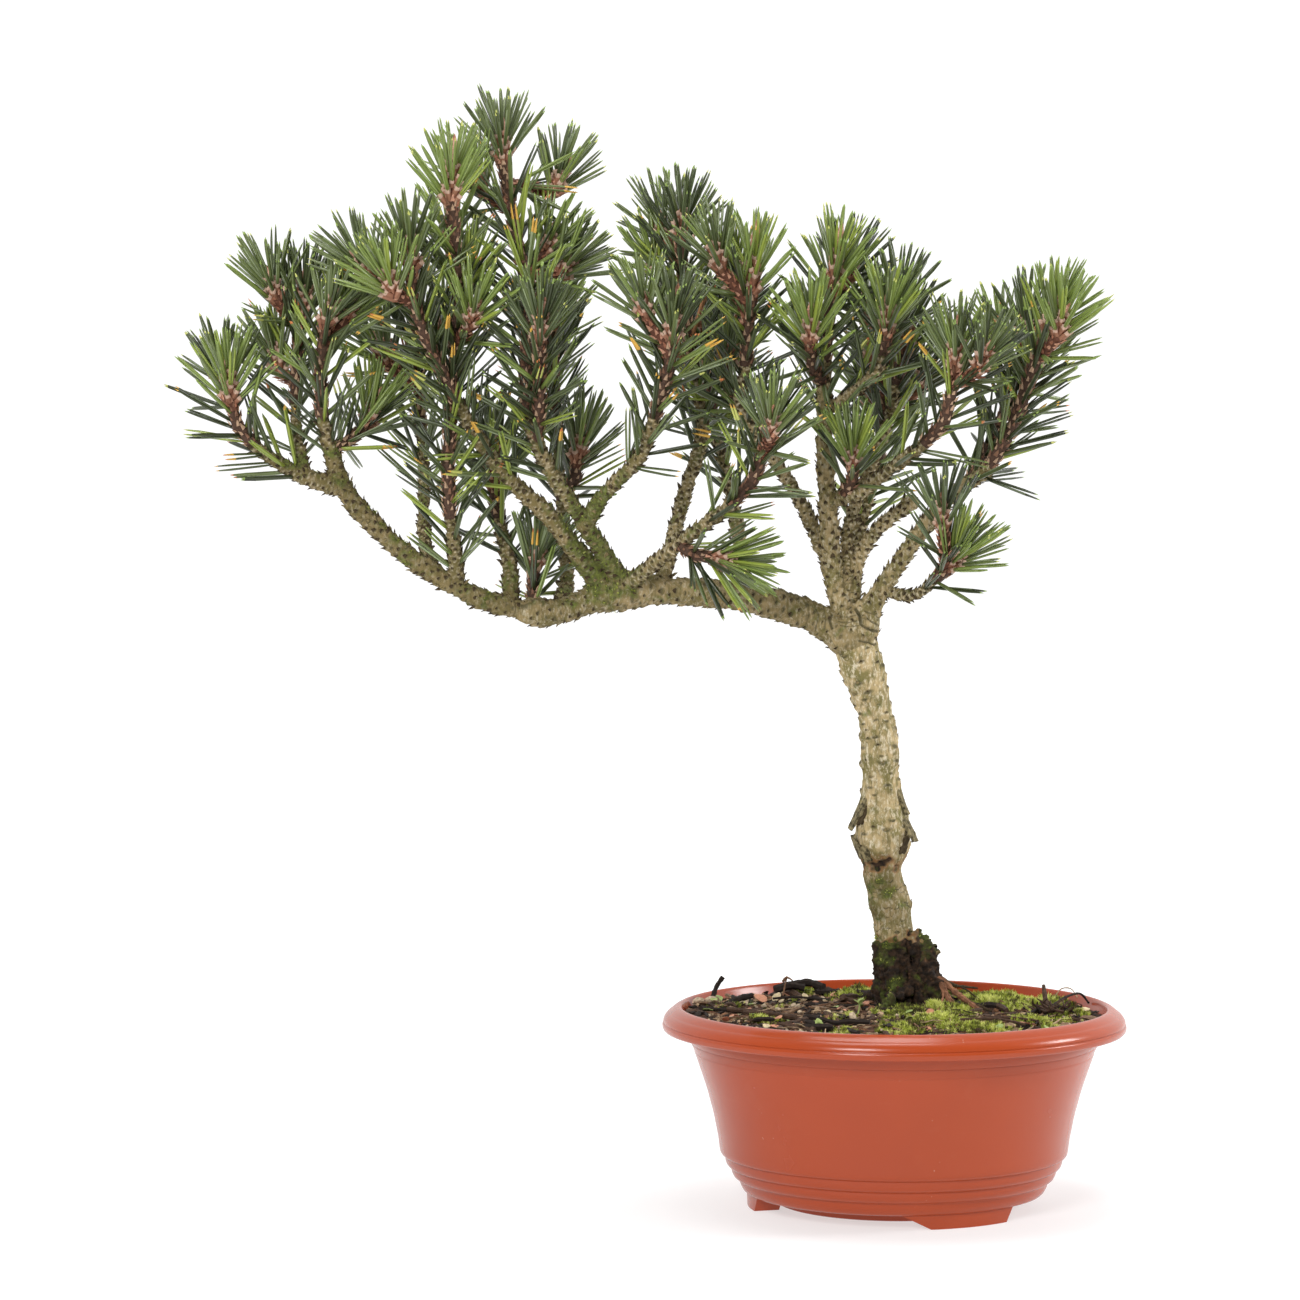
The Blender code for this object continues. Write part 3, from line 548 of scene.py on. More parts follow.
soil = {
    "edge": 97.5,  # mm
    "ground": 100.7,
    "reach": 108.0,  # radius of its top at the edge
    "rings": 74,
    "sides": 200,
    "trunk": (6, 28),
    "colours": ((0.020, 0.010, 0.006), (0.085, 0.040, 0.023), (0.25, 0.120, 0.070)),
    "wall": ((107.2, 95), (105, 90), (102, 84), (93.8, 60), (88, 34), (78.6, 15.4), (57, 6.7)),
}


# the model's moss cushions: (x, y, height, reach) in mm
cushions = ((27, -9, 3.2, 15), (50, 12, 3.4, 16), (74, -6, 2.8, 14), (82, 28, 3, 16), (57, 46, 3.4, 17),
            (18, -46, 2.8, 15), (-8, -72, 2.4, 14), (36, -78, 2.8, 16), (66, -46, 2.6, 15), (28, 72, 3, 16),
            (-14, 64, 3, 15), (-44, 74, 2, 12), (-30, -32, 1.6, 12), (-68, -44, 1.6, 12), (-84, 12, 1.6, 12))


def cushionRise(x, y, one):
    cx, cy, height, reach = one
    return height * math.exp(-((x - cx) ** 2 + (y - cy) ** 2) / reach ** 2)


def soilHeight(x, y):
    # in metres, for a place in metres
    far = math.hypot(x, y) / (soil["reach"] * mm)
    rise = (soil["ground"] - soil["edge"]) * max(0.0, 1 - far) ** 0.5
    place = Vector((x, y, 0.0))
    lumps = 1.5 * noise.noise(place * 42) + 1.1 * noise.noise(place * 130) + 0.6 * noise.noise(place * 420)
    mound = max(cushionRise(x / mm, y / mm, one) for one in cushions)
    heaped = 2.4 * far ** 5 * max(0.0, min(1.0, -x / mm / 60 - 0.3))
    sunk = 3.2 * far ** 4 * max(0.0, min(1.0, y / mm / 70))
    rough = 1 if far < 0.97 else 0.4  # flatter along the bowl's wall
    return (soil["edge"] + rise + lumps * rough + mound + 1.0 * far ** 6 + heaped - sunk) * mm


def soilFinish():
    dark, middling, light = soil["colours"]
    finish = Shading("darkSoil", middling, 0.92, 0.3)
    base = finish.ramp(finish.noise(420, 6, 0.7), ((0.36, dark), (0.52, middling), (0.72, light)))
    pale = finish.range(finish.noise(900, 2), 0.68, 0.78, 0, 0.7)
    finish.colour(finish.mix(pale, base, (0.20, 0.12, 0.07)))
    finish.bump(finish.noise(650, 6, 0.7), 0.9, 0.0012)
    return finish.material


def makeSoil():
    selectNone()
    centre = (0, 0, soil["edge"] * mm)
    bpy.ops.mesh.primitive_circle_add(vertices=soil["sides"], radius=soil["reach"] * mm, location=centre)
    earth = bpy.context.object
    earth.name = "soilBed"
    bpy.ops.object.mode_set(mode="EDIT")
    bpy.ops.mesh.select_all(action="SELECT")
    bpy.ops.mesh.select_mode(type="EDGE")
    for k in range(1, soil["rings"]):
        share = (soil["rings"] - k) / (soil["rings"] - k + 1)
        bpy.ops.mesh.extrude_edges_move()
        bpy.ops.transform.resize(value=(share, share, 1), center_override=centre)
    bpy.ops.mesh.merge(type="CENTER")
    bpy.ops.object.mode_set(mode="OBJECT")
    for vertex in earth.data.vertices:
        vertex.select = vertex.co.xy.length > (soil["reach"] - 0.5) * mm
    for edge in earth.data.edges:
        edge.select = all(earth.data.vertices[v].select for v in edge.vertices)
    bpy.ops.object.mode_set(mode="EDIT")
    radius, height = soil["reach"], soil["edge"]
    for newRadius, newHeight in soil["wall"]:
        bpy.ops.mesh.extrude_edges_move(TRANSFORM_OT_translate={"value": (0, 0, (newHeight - height) * mm)})
        share = newRadius / radius
        bpy.ops.transform.resize(value=(share, share, 1), center_override=(0, 0, newHeight * mm))
        radius, height = newRadius, newHeight
    bpy.ops.mesh.edge_face_add()
    bpy.ops.mesh.select_all(action="SELECT")
    bpy.ops.mesh.normals_make_consistent(inside=False)
    bpy.ops.object.mode_set(mode="OBJECT")
    settle(earth)
    for vertex in earth.data.vertices:
        if abs(vertex.co.z - soil["edge"] * mm) < 0.1 * mm:
            vertex.co.z = soilHeight(vertex.co.x, vertex.co.y)
    selectOnly(earth)
    bpy.ops.object.shade_smooth()
    earth.data.materials.append(soilFinish())
    finishPiece(earth, ["soil"])


def chipShape(rng, flat):
    # a broken bit of bark or grit, about one unit long
    ring = []
    for level, size in ((-0.5, 0.7), (0.0, 1.0), (0.5, 0.75)):
        row = []
        for k in range(5):
            turn = 2 * math.pi * k / 5 + rng.uniform(-0.25, 0.25)
            far = size * rng.uniform(0.34, 0.52)
            row.append((far * math.cos(turn), far * flat * math.sin(turn), level * rng.uniform(0.8, 1.1)))
        ring.append(row)
    return barShape(ring)


litter = {
    "shapes": 6,  # different shapes of chip and of grit
    "barkChips": (900, 2.4, 10),  # how many, and from how long to how long in mm
    "logs": 60,  # dark sticks and slabs of bark
    "grit": (560, 1.4, 3.8),
    "fibres": (420, 6, 26),
    "leafBits": 90,
    "chipColours": ((0.024, 0.014, 0.009), (0.085, 0.045, 0.026), (0.235, 0.140, 0.078)),
    "gritColours": ((0.52, 0.36, 0.22), (0.30, 0.15, 0.08), (0.66, 0.52, 0.36)),
    "fibreColours": ((0.034, 0.020, 0.013), (0.21, 0.110, 0.060), (0.46, 0.32, 0.19)),
    "leafColours": ((0.38, 0.48, 0.14), (0.62, 0.27, 0.15), (0.70, 0.56, 0.33)),
}

finds = {  # single things that lie on the soil, in mm
    # course, radius at each end, colour
    "sticks": ((((-94, 32, 101), (-91.5, 38, 108), (-87.8, 39, 113.6)), (1.4, 1.2), 0),
               (((-87, 9, 103), (-80, 15, 105), (-73, 21, 106)), (1.6, 1.8), 0),
               (((-86, -12, 103), (-76, -22, 103.5), (-62, -33, 103)), (1.5, 1.0), 1),
               (((-78, -24, 103), (-66, -36, 104), (-52, -44, 103)), (1.2, 1.5), 1),
               (((-60, 60, 104), (-52, 62, 106), (-44, 61, 105)), (2.3, 2.0), 0),
               (((-52, 70, 105), (-42, 68, 107), (-34, 62, 105)), (1.9, 2.2), 0),
               (((-62, 24, 104), (-50, 22, 105), (-36, 20, 104)), (0.7, 0.6), 0),
               (((-56, 44, 103), (-55, 46, 108), (-54, 47, 112)), (0.5, 0.4), 7),
               (((-56, 47, 110), (-54, 46, 112.5), (-51, 44, 111)), (0.8, 0.4), 7),
               (((79, -12, 102), (78, -6, 107), (77.5, 0, 114)), (2.0, 1.0), 1),
               (((77, -10, 104), (72, -22, 104), (63, -38, 103)), (1.1, 0.5), 0),
               (((80, -10, 104), (86, -16, 104.5), (91, -24, 103)), (1.2, 0.5), 0),
               (((82, -4, 104), (91, 10, 107), (99, 24, 106.5), (104, 30, 101)), (0.8, 0.6), 0),
               (((86, 30, 104), (90, 33, 108), (95, 33, 108), (98, 29, 104)), (0.35, 0.3), 8),
               (((44, -44, 103), (56, -52, 104), (70, -56, 103)), (1.2, 0.6), 1),
               (((30, -60, 104), (48, -64, 105), (62, -70, 103)), (1.0, 0.7), 1)),
    "tangle": (79, -12, 44),  # where the dark spiky twigs stand, and how many
    # x, y, size
    "stones": ((-101, 30, 6.5), (-94, 32, 7.2), (-77, 40, 6), (-23, -36, 6.2), (-14, -34, 4), (-8, -24, 5),
               (70, 13, 6.5), (54, -66, 6.8), (-40, -8, 4.5), (-60, 6, 4), (-34, 30, 4.5), (-30, -60, 4)),
    # x, y, size, colour, tilt
    "leaves": ((-66, 36, 10, 10, 0.3), (-61, 30, 7, 11, 0.6), (65, -60, 7, 10, 0.2), (-41, -68, 6, 9, 0.9),
               (-39, -66, 5, 9, 0.7), (-70, 48, 6, 11, 0.5), (-44, 34, 5, 11, 0.6)),
    "seedling": (-20, -28),
}


def onSoil(rng, spread=1.0):
    while True:
        x, y = rng.uniform(-107, 107) * mm, rng.uniform(-107, 107) * mm
        far = math.hypot(x, y) / (soil["reach"] * mm)
        away = math.hypot(x / mm - soil["trunk"][0], y / mm - soil["trunk"][1])
        if far < 0.985 * spread and away > 15:
            return x, y


def lying(rng, tilt=0.35):
    # a direction that lies on the ground, give or take
    turn = rng.uniform(0, 2 * math.pi)
    return Vector((math.cos(turn), math.sin(turn), rng.uniform(-tilt, tilt))).normalized()


def plainFinish(name, colour, roughness=0.85, specular=0.3, grain=0.0, scale=700):
    finish = Shading(name, colour, roughness, specular)
    if grain:
        dark = mixed(colour, (0, 0, 0), grain)
        finish.colour(finish.ramp(finish.noise(scale, 4, 0.6), ((0.38, dark), (0.62, colour))))
    return finish.material


def makeLitter():
    rng = random.Random(crownSeed + 1)
    heap = Heap()
    kinds = (("barkChips", 0.36, 0, 0.45), ("grit", 0.85, 3, 0.5))
    for key, flat, firstTint, tilt in kinds:
        count, shortest, longest = litter[key]
        for _ in range(litter["shapes"]):
            shape = chipShape(rng, flat)
            rows = newRows()
            for _ in range(count // litter["shapes"]):
                x, y = onSoil(rng)
                size = shortest + (longest - shortest) * rng.random() ** 2.2
                along = lying(rng, tilt)
                across, normal = axesFor(along, rng.uniform(0, anyTurn))
                if key == "barkChips":
                    normal = (up - along * along.dot(up)).normalized()
                    across = along.cross(normal)
                wide = size * rng.uniform(0.45, 0.8) if key == "barkChips" else size
                place = (x, y, soilHeight(x, y) + rng.uniform(0.1, 1.9 if x < 0 else 1.1) * mm)
                lay(rows, place, across * wide * mm, normal * wide * mm, along * size * mm,
                    firstTint + min(2, int(rng.random() ** 1.3 * 3)))
            heap.copies(shape, *rows)
    for _ in range(litter["logs"]):
        # rotted sticks, mostly on the left, split and bent
        x, y = onSoil(rng, 0.92)
        if x > 0.02 and rng.random() < 0.7:
            x = -x
        heading = lying(rng, 0.12)
        place = Vector((x, y, soilHeight(x, y) + rng.uniform(0.8, 2.2) * mm))
        length = rng.uniform(9, 24) * mm
        points, radii = [], []
        thick = rng.uniform(0.9, 2.2) * mm
        for k in range(7):
            if place.xy.length > 101 * mm:
                break
            points.append(place.copy())
            radii.append(thick * rng.uniform(0.7, 1.05) * (0.7 if k in (0, 6) else 1))
            heading = (heading + 0.14 * lying(rng, 0.4)).normalized()
            place = place + heading * length / 6
            level = soilHeight(place.x, place.y)
            place.z = min(max(place.z, level + 0.4 * mm), level + 3.5 * mm)
        if len(points) > 3:
            tubeInto(heap, points, radii, 6, rng.randrange(2))
    count, shortest, longest = litter["fibres"]
    for _ in range(count):
        x, y = onSoil(rng, 0.97)
        points, radii = [], []
        heading = lying(rng, 0.1)
        place = Vector((x, y, soilHeight(x, y) + 0.6 * mm))
        length = rng.uniform(shortest, longest) * mm
        thick = rng.uniform(0.22, 0.75) * mm
        for k in range(6):
            points.append(place.copy())
            radii.append(thick * (1 - 0.5 * k / 5))
            heading = (heading + 0.35 * lying(rng, 0.6)).normalized()
            place = place + heading * length / 5
            if place.xy.length > 104 * mm:
                break
            level = soilHeight(place.x, place.y)
            place.z = min(max(place.z, level + 0.2 * mm), level + 2.5 * mm)
        if len(points) > 2:
            tubeInto(heap, points, radii, 4, 6 + rng.randrange(3))
    for course, (low, high), tint in finds["sticks"]:
        line, shares = smoothCourse(course, 1.6 * mm)
        radii = [(low + (high - low) * t) * rng.uniform(0.85, 1.15) * mm for t in shares]
        tubeInto(heap, line, radii, 7, tint)
    x, y, count = finds["tangle"]
    for k in range(count):
        foot = Vector((x + rng.uniform(-9, 9), y + rng.uniform(-11, 11), 103)) * mm
        tip = foot + around(up, rng.uniform(0.75, 1.5), rng.uniform(0, anyTurn)) * rng.uniform(4, 9) * mm
        bent = between(foot, tip, 0.55) + lying(rng) * 1.2 * mm
        tubeInto(heap, [foot, bent, tip], [1.0 * mm, 0.7 * mm, 0.3 * mm], 5, rng.choice((0, 1, 1)))
    for x, y, size in finds["stones"]:
        stone = chipShape(rng, 0.8)
        along = lying(rng, 0.3)
        across, normal = axesFor(along, rng.uniform(0, anyTurn))
        place = Vector((x, y, 0)) * mm
        place.z = soilHeight(place.x, place.y) + 0.28 * size * mm
        heap.copies(stone, [place], [across * size * mm], [normal * size * 0.9 * mm],
                    [along * size * 0.9 * mm], [3 + 2 * rng.randrange(2)])
    rows = newRows()
    x, y = finds["seedling"]
    stem = Vector((x, y, 102)) * mm
    crown = stem + Vector((1, 0, 5.5)) * mm
    tubeInto(heap, [stem, between(stem, crown, 0.5), crown], [0.5 * mm, 0.4 * mm, 0.35 * mm], 5, 9)
    spread = [(k * 2.3, rng.uniform(0.5, 1.1), 4.2, 9, crown) for k in range(4)]
    for x, y, size, tint, tilt in finds["leaves"]:
        place = Vector((x, y, soilHeight(x * mm, y * mm) / mm + 1.5)) * mm
        spread.append((rng.uniform(0, 6), 1.5 - tilt, size, tint, place))
    for turn, lean, size, tint, place in spread:
        along = around(up, lean, turn)
        normal = (up - along * along.dot(up)).normalized()
        lay(rows, place, along.cross(normal) * size * mm, normal * size * mm, along * size * mm, tint)
    for _ in range(litter["leafBits"]):
        x, y = onSoil(rng)
        if x > 0.03 and rng.random() < 0.7:
            x = -abs(x)
        if math.hypot(x, y) > 104 * mm:
            continue
        size = rng.uniform(3, 7)
        along = lying(rng, 0.5)
        normal = (up + 0.5 * lying(rng)).normalized()
        normal = (normal - along * along.dot(normal)).normalized()
        place = (x, y, soilHeight(x, y) + rng.uniform(0.8, 1.8) * mm)
        lay(rows, place, along.cross(normal) * size * mm, normal * size * mm, along * size * mm,
            9 + rng.randrange(3))
    heap.copies(leafShape(), *rows)
    # name, colours, roughness, specular, grain
    paints = (("barkChip", "chipColours", 0.8, 0.3, 0.5), ("grit", "gritColours", 0.9, 0.2, 0.4),
              ("fibre", "fibreColours", 0.85, 0.3, 0.3), ("leafBit", "leafColours", 0.6, 0.4, 0.3))
    materials = [plainFinish(f"{name}{k}", colour, *finish)
                 for name, key, *finish in paints for k, colour in enumerate(litter[key])]
    piece = heap.make("soilLitter", materials, smoothly=False)
    finishPiece(piece)


def leafShape():
    # a small cupped leaf with a thin solid blade
    outline = ((0, 0), (0.2, 0.12), (0.34, 0.4), (0.3, 0.72), (0.12, 0.93), (0, 1.0), (-0.12, 0.93),
               (-0.3, 0.72), (-0.34, 0.4), (-0.2, 0.12))
    top = [(x, 0.9 * x * x + 0.12 * (z - 0.5) ** 2 + 0.03, z) for x, z in outline]
    under = [(x, y - 0.03, z) for x, y, z in top]
    count = len(outline)
    faces = [tuple(range(count)), tuple(reversed(range(count, 2 * count)))]
    for k in range(count):
        after = (k + 1) % count
        faces.append((after, k, count + k, count + after))
    return np.array(top + under), faces, [0] * len(faces)


def tubeInto(heap, line, radii, sides, tint):
    # a closed tube along a line of points
    heading = (line[1] - line[0]).normalized()
    side = heading.orthogonal().normalized()
    points, faces = [], []
    for k, (point, radius) in enumerate(zip(line, radii)):
        before, after = line[max(0, k - 1)], line[min(len(line) - 1, k + 1)]
        heading = (after - before).normalized()
        side = (side - heading * side.dot(heading)).normalized()
        other = heading.cross(side)
        for j in range(sides):
            turn = 2 * math.pi * j / sides
            points.append(point + radius * (math.cos(turn) * side + math.sin(turn) * other))
    for k in range(len(line) - 1):
        for j in range(sides):
            after = (j + 1) % sides
            faces.append((k * sides + j, k * sides + after, (k + 1) * sides + after, (k + 1) * sides + j))
    faces.append(tuple(reversed(range(sides))))
    faces.append(tuple(range(len(points) - sides, len(points))))
    heap.one(points, faces, tint)


moss = {
    "sprigs": 9400,
    "leaves": 9,
    "tall": (2.2, 4.6),  # mm
    "colours": ((0.070, 0.058, 0.016), (0.190, 0.220, 0.030), (0.430, 0.490, 0.065), (0.680, 0.700, 0.200)),
    # (x, y, reach in mm, how thick) of each patch, on the cushions and round them
    "patches": ((26, -8, 22, 1.0), (46, 14, 24, 1.0), (68, 0, 22, 0.9), (84, 24, 20, 0.9), (58, 46, 26, 1.0),
                (20, -46, 24, 0.9), (0, -74, 24, 0.8), (36, -76, 26, 0.9), (66, -50, 24, 0.7),
                (-14, 58, 26, 0.9), (0, -2, 18, 0.9), (30, 68, 24, 0.8), (-44, 74, 20, 0.7),
                (88, -14, 22, 0.6), (-30, -84, 18, 0.6), (-68, -46, 16, 0.6), (-84, 12, 14, 0.5),
                (-52, 26, 14, 0.4), (-30, -32, 14, 0.5), (6, -24, 20, 0.8)),
}


def sprigShape(leaves, rng):
    # a stem of moss with thin pointed leaves round it, about one unit tall
    points, faces = [], []
    for k in range(leaves):
        turn = k * goldenAngle
        level = k / leaves
        lean = 1.15 - 0.85 * level
        out = Vector((math.cos(turn), math.sin(turn), 0))
        across = Vector((-math.sin(turn), math.cos(turn), 0)) * 0.065
        root = up * (0.1 + 0.55 * level)
        tip = root + (out * math.sin(lean) + up * math.cos(lean)) * rng.uniform(0.4, 0.62)
        start = len(points)
        for point in (root + across, root - across, root + out * 0.05 - up * 0.1, tip):
            points.append((point.x, point.y, point.z))
        faces += [(start, start + 2, start + 1), (start, start + 1, start + 3),
                  (start + 1, start + 2, start + 3), (start + 2, start, start + 3)]
    return np.array(points), faces, [0] * len(faces)


def mossAt(x, y):
    # how thick the moss is at a place in mm
    thick = 0
    for cx, cy, reach, most in moss["patches"]:
        thick = max(thick, most * (1.15 - math.hypot(x - cx, y - cy) / reach))
    broad = noise.noise(Vector((x * 0.09, y * 0.09, 3.0)))
    close = noise.noise(Vector((x * 0.3, y * 0.3, 7.0)))
    return thick + 0.55 * broad + 0.3 * close


def makeMoss():
    rng = random.Random(crownSeed + 2)
    heaps = {"mossLeft": Heap(), "mossRight": Heap()}
    shapes = [sprigShape(moss["leaves"], rng) for _ in range(5)]
    rows = {name: [newRows() for _ in shapes] for name in heaps}
    made = 0
    while made < moss["sprigs"]:
        x, y = rng.uniform(-106, 106), rng.uniform(-106, 106)
        if math.hypot(x, y) > 105.5:
            continue
        thick = mossAt(x, y)
        if thick < 0.35 + 0.3 * rng.random():
            continue
        made += 1
        row = rows["mossLeft" if x < 26 else "mossRight"][rng.randrange(len(shapes))]
        tall = rng.uniform(*moss["tall"]) * (0.7 + 0.35 * min(1, thick))
        lump = 2.6 * min(1.0, thick) * (0.45 + noise.noise(Vector((x * 0.13, y * 0.13, 1.0))))
        along = (up + 0.55 * lying(rng, 0.2)).normalized()
        across, normal = axesFor(along, rng.uniform(0, anyTurn))
        place = (x * mm, y * mm, soilHeight(x * mm, y * mm) + (max(0, lump) - 0.9) * mm)
        shade = noise.noise(Vector((x * 0.07, y * 0.07, 9.0))) + 0.55 * rng.uniform(-1, 1)
        shade = shade + 0.16 * (max(0, lump)) - 0.08
        lay(row, place, across * tall * mm, normal * tall * mm, along * tall * mm,
            0 if shade < -0.25 else 1 if shade < 0.06 else 2 if shade < 0.4 else 3)
    paints = [plainFinish(f"moss{k}", colour, 0.75, 0.3) for k, colour in enumerate(moss["colours"])]
    for name, heap in heaps.items():
        for shape, row in zip(shapes, rows[name]):
            heap.copies(shape, *row)
        finishPiece(heap.make(name, paints, smoothly=False))
    return paints


makeSoil()
makeLitter()
mossColours = makeMoss()
print("soil, litter and moss are laid")


# trunk and boughs: the courses and radii of the model, in mm

wood = {
    "trunk": {"course": ((6, 28, 101), (0, 26, 149), (-6, 25, 177), (-6, 23, 214), (-7, 21, 242),
        (-12, 19, 265), (-21, 16, 294)), "radius": (10.8, 8.9), "knuckles": ((1.0, 3.4, 0.12),),
        "tone": 0.12},
    "bough_left_inner": {"course": ((-21, 16, 293), (-46, 13, 306), (-80, 9, 315), (-114, 4, 318),
        (-144, 0, 318), (-173, -3, 308), (-190, -6, 308)), "radius": (8.2, 5.6),
        "knuckles": ((0.72, 3.6, 0.09), (0.97, 1.4, 0.05)), "tone": 0.55},
    "bough_left_outer": {"course": ((-190, -6, 308), (-214, -9, 315), (-239, -12, 329), (-260, -14, 345),
        (-278, -14, 364), (-286, -14, 378)), "radius": (5, 4.6), "tone": 0.75},
    "limb_a": {"course": ((-283, -14, 372), (-305, -17, 378), (-324, -21, 390), (-328, -22, 394)),
        "radius": (4.2, 2.8), "tone": 0.9},
    "limb_b": {"course": ((-303, -17, 379), (-307, -6, 396), (-309, 4, 414)), "radius": (2.7, 2.2),
        "tone": 0.9},
    "limb_c": {"course": ((-285, -14, 375), (-291, -18, 396), (-293, -20, 406)), "radius": (3.9, 3.1),
        "tone": 0.9},
    "limb_m": {"course": ((-225, -10, 320), (-226, -18, 338), (-228, -23, 356)), "radius": (3.4, 2.8),
        "tone": 0.8},
    "limb_n": {"course": ((-198, -6, 310), (-199, 6, 332), (-205, 22, 354)), "radius": (3.8, 3),
        "tone": 0.8},
    "limb_f": {"course": ((-149, 0, 319), (-165, -8, 340), (-180, -14, 359), (-200, -20, 378),
        (-217, -26, 402), (-224, -30, 415)), "radius": (5.2, 3), "tone": 0.8},
    "limb_l": {"course": ((-139, 0, 320), (-161, -14, 355), (-180, -24, 386), (-189, -27, 409)),
        "radius": (4.6, 3), "tone": 0.7},
    "limb_p": {"course": ((-160, -14, 353), (-148, -22, 370), (-131, -30, 388), (-124, -34, 407)),
        "radius": (3.6, 2.8), "tone": 0.7},
    "limb_y": {"course": ((-141, -4, 319), (-117, -22, 339), (-92, -34, 358), (-86, -37, 363)),
        "radius": (3.6, 2.7), "tone": 0.6},
    "limb_q": {"course": ((-121, 4, 319), (-110, 22, 362), (-99, 32, 401), (-103, 35, 430)),
        "radius": (3.4, 2.6), "tone": 0.6},
    "limb_upright": {"course": ((-21, 16, 294), (-31, 14, 326), (-34, 12, 357), (-36, 11, 396),
        (-36, 10, 436)), "radius": (6, 3.2), "tone": 0.35},
    "limb_z": {"course": ((-30, 14, 324), (-46, 18, 360), (-62, 14, 386), (-79, 6, 412), (-77, 4, 434)),
        "radius": (3.6, 2.4), "tone": 0.5},
    "limb_aa": {"course": ((-24, 15, 320), (-23, 28, 349), (-15, 38, 372), (-3, 44, 401), (3, 46, 425)),
        "radius": (3, 2.2), "tone": 0.5},
    "limb_w": {"course": ((-34, 12, 364), (-16, 4, 371), (5, -8, 387), (14, -13, 394)),
        "radius": (3.4, 2.7), "tone": 0.5},
    "limb_bb": {"course": ((-22, 16, 313), (-18, 22, 334), (-6, 30, 351), (11, 36, 364)),
        "radius": (3.6, 2.8), "knuckles": ((0.97, 1.3, 0.06),), "tone": 0.4},
    "limb_right": {"course": ((-20, 16, 297), (-4, 12, 322), (12, 10, 346), (28, 6, 366), (48, 4, 381)),
        "radius": (4.6, 3.3), "knuckles": ((0.05, 4.6, 0.09),), "tone": 0.35},
    "limb_cc": {"course": ((-6, 12, 318), (10, 3, 316), (21, -6, 325)), "radius": (2.4, 2), "tone": 0.6},
    "limb_v": {"course": ((-36, 11, 411), (-22, 6, 420), (-10, 2, 431), (-6, 0, 440)),
        "radius": (2.6, 2.2), "tone": 0.5},
    "limb_back_a": {"course": ((-21, 16, 296), (-20, 48, 317), (-13, 76, 354), (-4, 92, 384)),
        "radius": (4, 2.6), "tone": 0.5},
    "limb_back_b": {"course": ((-80, 10, 315), (-78, 40, 333), (-85, 72, 375), (-93, 88, 408)),
        "radius": (3.8, 2.5), "tone": 0.6},
    "limb_back_c": {"course": ((-172, -2, 309), (-170, 34, 328), (-174, 62, 375), (-176, 76, 408)),
        "radius": (3.6, 2.5), "tone": 0.7},
    "limb_back_d": {"course": ((-239, -11, 329), (-244, 22, 349), (-245, 44, 380), (-247, 52, 404)),
        "radius": (3.2, 2.3), "tone": 0.8},
}

# roots that run out from the trunk into the moss: course in mm, radius at each end
roots = (
    (((10, 23, 136), (16, 18, 128), (19, 14, 119), (21.5, 11, 111), (27, 4, 103), (33, -6, 98)), (6.4, 2.4)),
    (((17, 16, 126), (20.5, 14.5, 128), (24.2, 13.6, 129.6)), (2.8, 1.6)),
    (((3, 21, 128), (3, 16, 114), (4, 12, 98)), (5.6, 5.2)),
    (((12, 22, 124), (14, 14, 112), (17, 6, 98)), (4.6, 3.6)),
    (((12, 14, 113), (5, 7, 108.5), (-4, 0, 105), (-9, -5, 99)), (2.6, 1.3)),
    (((7, 36, 122), (6, 45, 108), (3, 56, 98)), (5.4, 2.0)),
    (((13, 32, 122), (22, 38, 109), (32, 46, 98)), (5.2, 2.0)),
    (((-1, 33, 120), (-6, 40, 107), (-12, 50, 98)), (4.6, 1.8)),
)

# peeling strands of root: course in mm, radius at each end, colour
strands = (
    (((19.5, 14, 127.6), (22.5, 13, 129.2), (24.6, 12.6, 130.4)), (1.9, 1.2), 0),
    (((24, 9, 117), (26.5, 3, 110), (29.5, -8, 104.5), (34, -18, 100.5)), (1.5, 0.8), 3),
    (((25, 9, 116), (28, 2, 109), (31, -6, 105), (35.5, -14, 101)), (1.2, 0.7), 3),
    (((25, 10, 116), (32, 4, 110), (38, -4, 106), (45, -12, 101.5)), (2.0, 1.1), 3),
    (((26, 10, 115), (34, 5, 108.5), (41, -3, 105), (50, -8, 101.5)), (1.1, 0.7), 1),
    (((24, 9, 115), (25.5, 0, 109), (23, -12, 104.5), (19.5, -25, 101.5)), (0.7, 0.4), 3),
    (((24, 11, 117), (32, 13, 112.5), (38, 18, 111), (45, 22, 109.8)), (1.2, 0.5), 1),
    (((36, 16, 111), (40, 14, 109), (46, 12, 104)), (0.5, 0.4), 1),
)

